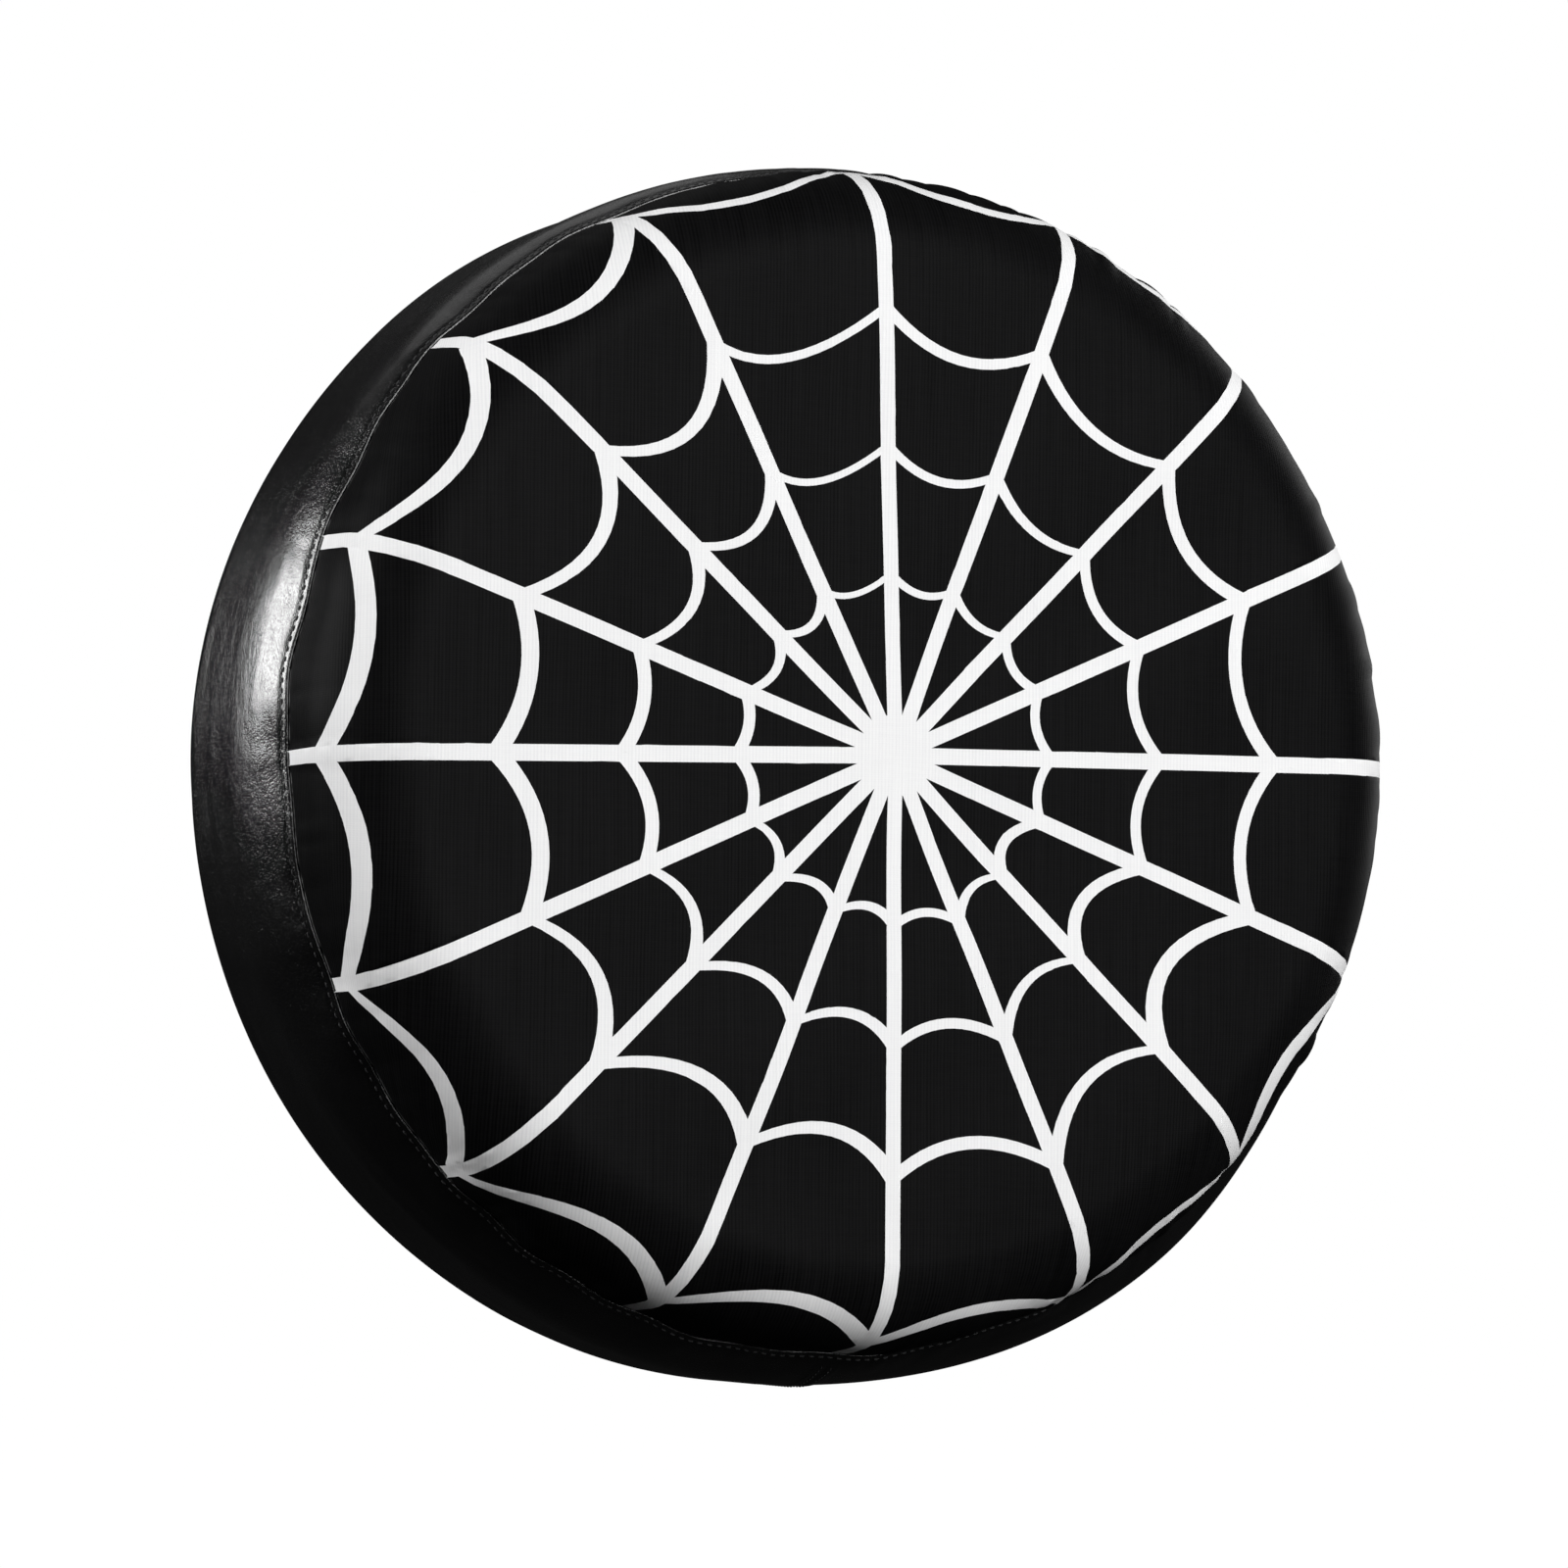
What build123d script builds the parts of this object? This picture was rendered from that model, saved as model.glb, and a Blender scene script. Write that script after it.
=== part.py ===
from build123d import *
import math
import os

os.makedirs("parts", exist_ok=True)

# Spare tyre cover, millimetres.  +Y is the wheel axis and points out of the open back,
# +Z is up.  The origin is on the axis, in the middle of the space that the tyre fills.
# Every ring is a section in radius (local x) and height along the axis (local y),
# turned round the Y axis.

# Outer shape
COVER_RADIUS = 370.0          # outside of the side band, for a tyre about 735 mm across
FACE_PLANE = -118.0           # front of the face panel, over the tyre's sidewall
FACE_DISH = 4.0               # how far the middle of the face lies behind that plane
SHOULDER_START = 295.0        # radius where the face begins to turn over the tyre
SHOULDER_BEND = 55.0          # bend of the face over the tyre's front shoulder
SEAM_RISE = 56.0              # from the face seam back to where the band is widest
SEAM_NIP = 17.5               # how far the seam is drawn in below the band's radius
BAND_WIDEST = 15.0            # height where the band reaches its full radius
REAR_BEND_START = 68.0        # height where the band starts to turn round the back
REAR_BEND = 44.0              # bend of the band over the tyre's rear shoulder
RETURN_EDGE_RADIUS = 276.5    # inner edge of the part of the band behind the tyre
RETURN_EDGE_HEIGHT = 115.1    # outside of the band at that edge

# Cloth thicknesses
FACE_CLOTH = 1.0
BAND_CLOTH = 1.2
BINDING_CLOTH = 0.5
CASING_CLOTH = 1.0

# Seam between the face and the band
FOLD_OUTSIDE = 3.1            # thickness of the band's folded front edge
ALLOWANCE_LENGTH = 11.0       # turned-in edges, measured from the seam
TOPSTITCH_INSET = 3.0         # stitch row, measured from the seam
BINDING_LEG = 6.0             # width of each leg of the binding
LAYER_GAP = 0.1               # space between layers that are sewn flat together
STITCH_GAP = 0.02             # space between a thread and the cloth that it lies on
THREAD = 0.6                  # diameter of the sewing thread

# Closing seam across the band, at the bottom
CLOSING_TAPE_WIDTH = 22.0
CLOSING_TAPE_CLOTH = 0.6
CLOSING_ROW_SPACING = 6.0     # between the two stitch rows
CLOSING_ROW_HEIGHT = 0.5
CLOSING_END_CLEAR = 14.0      # tape's clearance from the bound face seam
BOTTOM = -90.0                # direction of the seam round the wheel axis, degrees

# Elastic hem
HEM_MIDDLE = 114.5            # height of the hem's middle plane
HEM_RADIUS = 256.0            # inside of the relaxed opening
HEM_TUNNEL_END = 266.0
HEM_FLANGE_START = 270.0
HEM_FLANGE_END = 276.0
HEM_TUNNEL_HALF = 3.0         # half the tunnel's height
HEM_FLANGE_HALF = 1.1         # half the height of the two edges sewn together
HEM_CORNER = 1.2
HEM_ROW_RADIUS = 273.0
HEM_THREAD = 0.5
ELASTIC_WIDTH = 8.0
ELASTIC_THICKNESS = 1.5
ELASTIC_INSIDE = 258.0
ELASTIC_LAP = 7.0             # overlap of the elastic's two ends, degrees
TACK_BARS = 3
TACK_PITCH = 1.6              # between the bars of the bar tack, degrees
TACK_WIDTH = 0.17             # degrees
TACK_HEIGHT = 0.4

# Circle that the band follows between the face seam and its widest line
front_radius = (SEAM_NIP**2 + SEAM_RISE**2) / (2 * SEAM_NIP)
front_centre = COVER_RADIUS - front_radius
seam_angle = math.degrees(math.asin(SEAM_RISE / front_radius))
fold_radius = front_radius - FOLD_OUTSIDE
allowance_angle = math.degrees(ALLOWANCE_LENGTH / front_radius)


def on_front(depth, turn):
    """Point under the band's front: depth below its surface, turn degrees back from the seam."""
    angle = math.radians(seam_angle - turn)
    radius = front_radius - depth
    return (front_centre + radius * math.cos(angle), BAND_WIDEST - radius * math.sin(angle))


def front_arc(depth, start, end):
    """Arc at a fixed depth below the band's front, between two turns from the seam."""
    return ThreePointArc(
        on_front(depth, start), on_front(depth, (start + end) / 2), on_front(depth, end)
    )


def front_strip(shallow, deep, start, end):
    """Section of a layer under the band's front, between two depths and two turns."""
    with BuildSketch(Plane.XY, mode=Mode.PRIVATE) as strip:
        with BuildLine():
            front_arc(shallow, start, end)
            Line(on_front(shallow, end), on_front(deep, end))
            front_arc(deep, end, start)
            Line(on_front(deep, start), on_front(shallow, start))
        make_face()
    return strip.sketch


def fold_arc(depth):
    """Half circle round the band's folded edge, at a depth below the folded surface."""
    reach = math.degrees((FOLD_OUTSIDE / 2 - depth) / front_radius)
    return ThreePointArc(
        on_front(FOLD_OUTSIDE - depth, 0), on_front(FOLD_OUTSIDE / 2, -reach), on_front(depth, 0)
    )


def side_plane(angle):
    """Plane through the wheel axis whose local x points out at an angle from +X towards +Z."""
    turn = math.radians(angle)
    return Plane(
        origin=(0, 0, 0),
        x_dir=(math.cos(turn), 0, math.sin(turn)),
        z_dir=(-math.sin(turn), 0, math.cos(turn)),
    )


rear_centre = (COVER_RADIUS - REAR_BEND, REAR_BEND_START)
rear_end = (COVER_RADIUS - REAR_BEND, REAR_BEND_START + REAR_BEND)
half_turn = math.sqrt(0.5)

# ---------------------------------------------------------------- face panel
# One disc of printed cloth.  It runs flat across the wheel, turns over the tyre's front
# shoulder, and its edge is turned in at the seam and laid back under the band's edge.
riser_turn = -math.degrees((FOLD_OUTSIDE / 2 + 0.2) / front_radius)
allowance_depth = FOLD_OUTSIDE + LAYER_GAP
with BuildPart() as face_panel:
    with BuildSketch(Plane.XY):
        with BuildLine():
            dish = ThreePointArc(
                (0, FACE_PLANE + FACE_DISH),
                (SHOULDER_START / 2, FACE_PLANE + FACE_DISH * 0.75),
                (SHOULDER_START, FACE_PLANE),
            )
            shoulder = CenterArc(
                (SHOULDER_START, FACE_PLANE + SHOULDER_BEND), SHOULDER_BEND, -90, 90
            )
            Line(shoulder @ 1, on_front(0.2, riser_turn))
            Line(on_front(0.2, riser_turn), on_front(allowance_depth, riser_turn))
            front_arc(allowance_depth, riser_turn, allowance_angle)
            offset(amount=FACE_CLOTH, side=Side.LEFT, kind=Kind.INTERSECTION)
        make_face()
    revolve(axis=Axis.Y)
face_panel.part.label = "face_panel"
export_step(face_panel.part, "parts/face_panel.step")

# ----------------------------------------------------------------- side band
# One strip: its front edge is folded under at the face seam, it crosses the tread,
# turns over the rear shoulder and runs in towards the hem.
with BuildPart() as side_band:
    with BuildSketch(Plane.XY):
        with BuildLine():
            front_arc(0, 0, seam_angle)
            Line((COVER_RADIUS, BAND_WIDEST), (COVER_RADIUS, REAR_BEND_START))
            CenterArc(rear_centre, REAR_BEND, 0, 90)
            Line(rear_end, (RETURN_EDGE_RADIUS, RETURN_EDGE_HEIGHT))
            offset(amount=BAND_CLOTH, side=Side.LEFT, kind=Kind.INTERSECTION)
        make_face()
        with BuildLine():
            fold_arc(0)
            Line(on_front(0, 0), on_front(BAND_CLOTH, 0))
            fold_arc(BAND_CLOTH)
            Line(on_front(FOLD_OUTSIDE - BAND_CLOTH, 0), on_front(FOLD_OUTSIDE, 0))
        make_face()
        add(front_strip(FOLD_OUTSIDE - BAND_CLOTH, FOLD_OUTSIDE, 0, allowance_angle))
    revolve(axis=Axis.Y)
side_band.part.label = "side_band"
export_step(side_band.part, "parts/side_band.step")

# --------------------------------------------------------- face seam binding
# Folded tape round the raw edges of the face and the band, inside the cover.
tape_end = allowance_angle + math.degrees((LAYER_GAP + BINDING_CLOTH) / front_radius)
tape_start = tape_end - math.degrees(BINDING_LEG / front_radius)
tape_web = tape_end - math.degrees(BINDING_CLOTH / front_radius)
tape_outer = BAND_CLOTH + LAYER_GAP
tape_inner = allowance_depth + FACE_CLOTH + LAYER_GAP + BINDING_CLOTH
with BuildPart() as face_seam_binding:
    with BuildSketch(Plane.XY):
        add(front_strip(tape_outer, tape_outer + BINDING_CLOTH, tape_start, tape_end))
        add(front_strip(tape_inner - BINDING_CLOTH, tape_inner, tape_start, tape_end))
        add(front_strip(tape_outer, tape_inner, tape_web, tape_end))
    revolve(axis=Axis.Y)
face_seam_binding.part.label = "face_seam_binding"
export_step(face_seam_binding.part, "parts/face_seam_binding.step")

# ---------------------------------------------------------- face seam thread
# Top thread on the band beside the seam, and its bobbin thread inside.
stitch_turn = math.degrees(TOPSTITCH_INSET / front_radius)
thread_drop = THREAD / 2 + STITCH_GAP
with BuildPart() as face_seam_thread:
    with BuildSketch(Plane.XY):
        with Locations(
            on_front(-thread_drop, stitch_turn),
            on_front(allowance_depth + FACE_CLOTH + thread_drop, stitch_turn),
        ):
            Circle(THREAD / 2)
    revolve(axis=Axis.Y)
face_seam_thread.part.label = "face_seam_thread"
export_step(face_seam_thread.part, "parts/face_seam_thread.step")

# --------------------------------------------------------- band closing tape
# Strip inside the band, over the seam that joins the band's two ends.
tape_depth = BAND_CLOTH + LAYER_GAP
tape_arc = math.degrees(CLOSING_TAPE_WIDTH / COVER_RADIUS)
tape_clear = allowance_angle + math.degrees(CLOSING_END_CLEAR / front_radius)
tape_bend = REAR_BEND - tape_depth
with BuildPart() as band_closing_tape:
    with BuildSketch(side_plane(BOTTOM + tape_arc / 2)):
        with BuildLine():
            front_arc(tape_depth, tape_clear, seam_angle)
            Line(
                (COVER_RADIUS - tape_depth, BAND_WIDEST),
                (COVER_RADIUS - tape_depth, REAR_BEND_START),
            )
            CenterArc(rear_centre, tape_bend, 0, 90)
            offset(amount=CLOSING_TAPE_CLOTH, side=Side.LEFT, kind=Kind.INTERSECTION)
        make_face()
    revolve(axis=Axis.Y, revolution_arc=tape_arc)
band_closing_tape.part.label = "band_closing_tape"
export_step(band_closing_tape.part, "parts/band_closing_tape.step")

# ------------------------------------------------------- band closing thread
# Two rows on the outside, one each side of the closing seam.
row_arc = math.degrees(THREAD / COVER_RADIUS)
row_turn = math.degrees(CLOSING_ROW_SPACING / 2 / COVER_RADIUS)
row_start = math.degrees(2 * TOPSTITCH_INSET / front_radius)
with BuildPart() as band_closing_thread:
    for row_angle in (BOTTOM - row_turn, BOTTOM + row_turn):
        with BuildSketch(side_plane(row_angle + row_arc / 2)):
            with BuildLine():
                front_arc(-STITCH_GAP, row_start, seam_angle)
                Line(
                    (COVER_RADIUS + STITCH_GAP, BAND_WIDEST),
                    (COVER_RADIUS + STITCH_GAP, REAR_BEND_START),
                )
                CenterArc(rear_centre, REAR_BEND + STITCH_GAP, 0, 90)
                offset(amount=CLOSING_ROW_HEIGHT, side=Side.RIGHT, kind=Kind.INTERSECTION)
            make_face()
        revolve(axis=Axis.Y, revolution_arc=row_arc)
band_closing_thread.part.label = "band_closing_thread"
export_step(band_closing_thread.part, "parts/band_closing_thread.step")

# ---------------------------------------------------------------- hem casing
# Folded tape: a round-edged tunnel for the elastic, and two edges sewn together flat.
with BuildPart() as hem_casing:
    with BuildSketch(Plane.XY):
        with BuildLine():
            FilletPolyline(
                (HEM_FLANGE_END, HEM_MIDDLE + HEM_FLANGE_HALF),
                (HEM_FLANGE_START, HEM_MIDDLE + HEM_FLANGE_HALF),
                (HEM_TUNNEL_END, HEM_MIDDLE + HEM_TUNNEL_HALF),
                (HEM_RADIUS, HEM_MIDDLE + HEM_TUNNEL_HALF),
                (HEM_RADIUS, HEM_MIDDLE - HEM_TUNNEL_HALF),
                (HEM_TUNNEL_END, HEM_MIDDLE - HEM_TUNNEL_HALF),
                (HEM_FLANGE_START, HEM_MIDDLE - HEM_FLANGE_HALF),
                (HEM_FLANGE_END, HEM_MIDDLE - HEM_FLANGE_HALF),
                radius=HEM_CORNER,
            )
            offset(amount=CASING_CLOTH, side=Side.LEFT, kind=Kind.INTERSECTION)
        make_face()
    revolve(axis=Axis.Y)
hem_casing.part.label = "hem_casing"
export_step(hem_casing.part, "parts/hem_casing.step")

# --------------------------------------------------------------- hem elastic
# Flat braided elastic on edge in the tunnel, with its two ends lapped at the bottom.
elastic_middle = ELASTIC_INSIDE + ELASTIC_WIDTH / 2
with BuildPart() as hem_elastic:
    with BuildSketch(Plane.XY):
        with Locations((elastic_middle, HEM_MIDDLE - ELASTIC_THICKNESS / 2)):
            Rectangle(ELASTIC_WIDTH, ELASTIC_THICKNESS)
    revolve(axis=Axis.Y)
    with BuildSketch(side_plane(BOTTOM + ELASTIC_LAP / 2)):
        with Locations((elastic_middle, HEM_MIDDLE + ELASTIC_THICKNESS / 2)):
            Rectangle(ELASTIC_WIDTH, ELASTIC_THICKNESS)
    revolve(axis=Axis.Y, revolution_arc=ELASTIC_LAP)
hem_elastic.part.label = "hem_elastic"
export_step(hem_elastic.part, "parts/hem_elastic.step")

# ----------------------------------------------------------- elastic bar tack
# Dense stitch bars that hold the lapped ends of the elastic.
tack_height = HEM_MIDDLE + ELASTIC_THICKNESS + STITCH_GAP + TACK_HEIGHT / 2
with BuildPart() as elastic_bar_tack:
    for bar in range(TACK_BARS):
        bar_angle = BOTTOM + (bar - (TACK_BARS - 1) / 2) * TACK_PITCH
        with BuildSketch(side_plane(bar_angle + TACK_WIDTH / 2)):
            with Locations((elastic_middle, tack_height)):
                Rectangle(ELASTIC_WIDTH - 2 * HEM_CORNER, TACK_HEIGHT)
        revolve(axis=Axis.Y, revolution_arc=TACK_WIDTH)
elastic_bar_tack.part.label = "elastic_bar_tack"
export_step(elastic_bar_tack.part, "parts/elastic_bar_tack.step")

# ---------------------------------------------------------------- hem thread
# Stitch row that closes the tunnel: needle thread behind, bobbin thread in front.
hem_thread_drop = HEM_FLANGE_HALF + HEM_THREAD / 2 + STITCH_GAP
with BuildPart() as hem_thread:
    with BuildSketch(Plane.XY):
        with Locations(
            (HEM_ROW_RADIUS, HEM_MIDDLE + hem_thread_drop),
            (HEM_ROW_RADIUS, HEM_MIDDLE - hem_thread_drop),
        ):
            Circle(HEM_THREAD / 2)
    revolve(axis=Axis.Y)
hem_thread.part.label = "hem_thread"
export_step(hem_thread.part, "parts/hem_thread.step")
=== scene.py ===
"""Spare tyre cover: printed face, leather-look band, sewn seams and a gathered elastic hem.

Lengths are in metres. +Y is the wheel axis and points out of the open back, +Z is up, and
angles round the axis run from +X towards +Z.
"""

import logging
import math
from dataclasses import dataclass, field
from enum import Enum
from typing import Iterable, Sequence, Union

import bmesh
import bpy
import numpy as np
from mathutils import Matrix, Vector, geometry


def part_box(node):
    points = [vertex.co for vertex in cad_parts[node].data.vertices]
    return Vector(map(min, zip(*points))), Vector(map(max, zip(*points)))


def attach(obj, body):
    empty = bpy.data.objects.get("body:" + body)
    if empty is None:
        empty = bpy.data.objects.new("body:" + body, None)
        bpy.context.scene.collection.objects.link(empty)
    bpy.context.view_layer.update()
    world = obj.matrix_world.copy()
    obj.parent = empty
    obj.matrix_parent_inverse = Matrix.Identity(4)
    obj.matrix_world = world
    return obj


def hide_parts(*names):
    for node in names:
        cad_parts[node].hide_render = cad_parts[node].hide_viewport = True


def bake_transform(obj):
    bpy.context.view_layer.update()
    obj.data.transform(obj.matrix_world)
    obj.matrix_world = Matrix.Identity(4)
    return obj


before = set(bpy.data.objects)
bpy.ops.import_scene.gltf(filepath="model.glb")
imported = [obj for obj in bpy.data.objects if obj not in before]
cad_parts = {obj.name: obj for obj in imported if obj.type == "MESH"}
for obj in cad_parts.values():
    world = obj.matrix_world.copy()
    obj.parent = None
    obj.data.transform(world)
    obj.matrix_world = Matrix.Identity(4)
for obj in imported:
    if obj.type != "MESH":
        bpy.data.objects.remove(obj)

log = logging.getLogger("cover")

MM = 0.001
FULL_TURN = 2 * math.pi
CLOTH_MAP = "cloth"
ARC_STEP = 1.5 * MM

Colour = tuple[float, float, float]


class Body(Enum):
    """The two bodies of the cover."""

    ROOT = "root"
    HEM = "hem"


class Slot(Enum):
    """Material slots of the record."""

    PRINTED = "printed_cloth"
    LEATHER = "leather_cloth"
    CASING = "casing_cloth"
    BINDING = "binding_tape"
    THREAD = "black_thread"


class MapKind(Enum):
    """Which coordinates a finish follows."""

    CLOTH = "cloth"
    OBJECT = "object"


# --------------------------------------------------------------------------- shader maths


Operand = Union["Wire", float]
Input = Union["Wire", float, Sequence[float]]


@dataclass(frozen=True, eq=False)
class Wire:
    """A socket that adds Math nodes when it is used in an expression."""

    desk: "Desk"
    socket: bpy.types.NodeSocket

    def _math(self, operation: str, *operands: Operand) -> "Wire":
        """Adds one Math node.

        Args:
            operation: Blender's name of the operation.
            operands: The values or wires that it takes.

        Returns:
            The node's result.
        """
        inputs = dict(enumerate(operands))
        return self.desk.add("ShaderNodeMath", {"operation": operation}, inputs).wire("Value")

    def __add__(self, other: Operand) -> "Wire":
        """Sum."""
        return self._math("ADD", self, other)

    def __radd__(self, other: Operand) -> "Wire":
        """Sum, with a number on the left."""
        return self._math("ADD", other, self)

    def __sub__(self, other: Operand) -> "Wire":
        """Difference."""
        return self._math("SUBTRACT", self, other)

    def __rsub__(self, other: Operand) -> "Wire":
        """Difference, with a number on the left."""
        return self._math("SUBTRACT", other, self)

    def __mul__(self, other: Operand) -> "Wire":
        """Product."""
        return self._math("MULTIPLY", self, other)

    def __rmul__(self, other: Operand) -> "Wire":
        """Product, with a number on the left."""
        return self._math("MULTIPLY", other, self)

    def __truediv__(self, other: Operand) -> "Wire":
        """Quotient."""
        return self._math("DIVIDE", self, other)

    def __pow__(self, other: Operand) -> "Wire":
        """Power."""
        return self._math("POWER", self, other)

    def __abs__(self) -> "Wire":
        """Absolute value."""
        return self._math("ABSOLUTE", self)

    def sine(self) -> "Wire":
        """Sine of an angle in radians."""
        return self._math("SINE", self)

    def ramp(self, low: float, high: float, to_low: float = 0.0, to_high: float = 1.0) -> "Wire":
        """Maps a span of values smoothly onto another, and holds it outside.

        Args:
            low: Where the span starts.
            high: Where it ends.
            to_low: Result at and below the start.
            to_high: Result at and above the end.

        Returns:
            The mapped value.
        """
        settings = {"interpolation_type": "SMOOTHSTEP"}
        inputs = {
            "Value": self,
            "From Min": low,
            "From Max": high,
            "To Min": to_low,
            "To Max": to_high,
        }
        return self.desk.add("ShaderNodeMapRange", settings, inputs).wire("Result")


@dataclass(frozen=True, eq=False)
class Added:
    """A node that was just added, with its outputs as wires."""

    desk: "Desk"
    node: bpy.types.Node

    def wire(self, output: Union[str, int]) -> Wire:
        """Output of the node by name or number."""
        return Wire(self.desk, self.node.outputs[output])


@dataclass(frozen=True, eq=False)
class Desk:
    """Adds nodes to the tree of one material, or of the world."""

    tree: bpy.types.NodeTree

    def plug(self, value: Input, socket: bpy.types.NodeSocket) -> None:
        """Links a wire to a socket, or sets a constant on it."""
        if isinstance(value, Wire):
            self.tree.links.new(value.socket, socket)
        else:
            socket.default_value = value

    def add(self, kind: str, settings: dict, inputs: dict) -> Added:
        """Adds a node, sets its settings first and then its sockets.

        Args:
            kind: Blender's type of the node.
            settings: Its properties by name.
            inputs: A value, or a wire, for each socket by name or number.

        Returns:
            The node.
        """
        node = self.tree.nodes.new(kind)
        for name, value in settings.items():
            setattr(node, name, value)
        for key, value in inputs.items():
            self.plug(value, node.inputs[key])
        return Added(self, node)

    def position(self, kind: MapKind) -> Wire:
        """Coordinates of the surface, in metres.

        Args:
            kind: The cut cloth's own coordinates, or the object's.

        Returns:
            A vector wire.
        """
        if kind is MapKind.CLOTH:
            return self.add("ShaderNodeUVMap", {"uv_map": CLOTH_MAP}, {}).wire("UV")
        return self.add("ShaderNodeTexCoord", {}, {}).wire("Object")

    def split(self, vector: Wire) -> tuple[Wire, Wire, Wire]:
        """The three parts of a vector."""
        node = self.add("ShaderNodeSeparateXYZ", {}, {"Vector": vector})
        return node.wire("X"), node.wire("Y"), node.wire("Z")

    def stretch(self, vector: Wire, scale: Sequence[float]) -> Wire:
        """A vector with each part multiplied by a number of its own."""
        settings = {"operation": "MULTIPLY"}
        return self.add("ShaderNodeVectorMath", settings, {0: vector, 1: scale}).wire("Vector")

    def noise(self, vector: Wire, scale: float, detail: float = 3.0, rough: float = 0.55) -> Wire:
        """Noise from 0 to 1.

        Args:
            vector: Coordinates.
            scale: Cells to the metre.
            detail: Octaves.
            rough: Weight of the finer octaves.

        Returns:
            A value wire.
        """
        inputs = {"Vector": vector, "Scale": scale, "Detail": detail, "Roughness": rough}
        return self.add("ShaderNodeTexNoise", {}, inputs).wire("Fac")

    def cells(self, vector: Wire, scale: float) -> Wire:
        """Distance from the middles of round cells, with a number of cells to the metre."""
        inputs = {"Vector": vector, "Scale": scale}
        return self.add("ShaderNodeTexVoronoi", {}, inputs).wire("Distance")

    def wave(self, value: Wire, pitch: float) -> Wire:
        """Sine of a coordinate that crosses zero at every pitch."""
        return (value * (math.pi / pitch)).sine()

    def mix(self, factor: Operand, first: Union[Wire, Colour], second: Colour) -> Wire:
        """Mixes a colour, or a colour wire, with a plain colour.

        Args:
            factor: Share of the second colour.
            first: Colour at 0.
            second: Colour at 1.

        Returns:
            A colour wire.
        """
        start = first if isinstance(first, Wire) else (*first, 1.0)
        inputs = {"Factor": factor, 6: start, 7: (*second, 1.0)}
        return self.add("ShaderNodeMix", {"data_type": "RGBA"}, inputs).wire(2)

    def bump(self, height: Wire, distance: float, **more: Union[Wire, float]) -> Wire:
        """Normal that follows a height.

        Args:
            height: Height, about 0 to 1.
            distance: Depth of one unit of height, in metres.
            more: The other sockets, such as Strength and the Normal of a finer relief.

        Returns:
            A normal wire.
        """
        inputs = {"Height": height, "Distance": distance, **more}
        return self.add("ShaderNodeBump", {}, inputs).wire("Normal")

    def weave(self, along: Wire, across: Wire, pitch: float) -> Wire:
        """Height of a plain weave: threads that pass over and under by turns.

        Args:
            along: Coordinate along the warp.
            across: Coordinate along the weft.
            pitch: Distance between threads.

        Returns:
            A height from 0 to 1.
        """
        warp, weft = self.wave(across, pitch), self.wave(along, pitch)
        over = (warp * weft).ramp(-0.4, 0.4)
        return over * abs(warp) + (1.0 - over) * abs(weft)


def new_material(name: str) -> tuple[bpy.types.Material, Desk, bpy.types.Node]:
    """An empty material with its Principled shader.

    Args:
        name: The material's name.

    Returns:
        The material, its desk and the shader node.
    """
    material = bpy.data.materials.new(name)
    material.use_nodes = True
    shader = material.node_tree.nodes["Principled BSDF"]
    return material, Desk(material.node_tree), shader


def dress(desk: Desk, shader: bpy.types.Node, **sockets: Union[Wire, float]) -> None:
    """Sets a shader's sockets, named with underscores for spaces.

    Args:
        desk: The material's desk.
        shader: The Principled shader.
        sockets: A value or a wire for each socket.
    """
    for name, value in sockets.items():
        desk.plug(value, shader.inputs[name.replace("_", " ")])


# --------------------------------------------------------------------------------- finishes


@dataclass(frozen=True)
class Finish:
    """A look with two tones, light and dark."""

    name: str
    light: Colour
    dark: Colour

    def sockets(self, desk: Desk) -> dict[str, Union[Wire, float]]:
        """Values and wires for the shader's sockets."""
        raise NotImplementedError

    def make(self) -> bpy.types.Material:
        """Builds the material."""
        material, desk, shader = new_material(self.name)
        dress(desk, shader, **self.sockets(desk))
        return material


@dataclass(frozen=True)
class WovenCloth(Finish):
    """Matte woven cloth with a visible rib."""

    pitch: float
    relief: float
    roughness: float
    specular: float
    sheen: float = 0.0

    def sockets(self, desk: Desk) -> dict[str, Union[Wire, float]]:
        """Values and wires for the shader's sockets.

        Args:
            desk: The material's desk.

        Returns:
            A value or a wire for each socket, named with underscores for spaces.
        """
        place = desk.position(MapKind.CLOTH)
        along, across, _ = desk.split(place)
        weave = desk.weave(along, across, self.pitch)
        mottle = desk.noise(place, 18.0)
        fibres = desk.noise(desk.stretch(place, (1.0, 0.2, 1.0)), 900.0, 2.0)
        tone = weave * 0.5 + mottle * 0.3 + fibres * 0.2
        return dict(
            Base_Color=desk.mix(tone.ramp(0.15, 0.85), self.dark, self.light),
            Roughness=self.roughness + 0.1 * (mottle - 0.5),
            Specular_IOR_Level=self.specular,
            Sheen_Weight=self.sheen,
            Normal=desk.bump(weave * 0.8 + fibres * 0.2, self.relief),
        )


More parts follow.
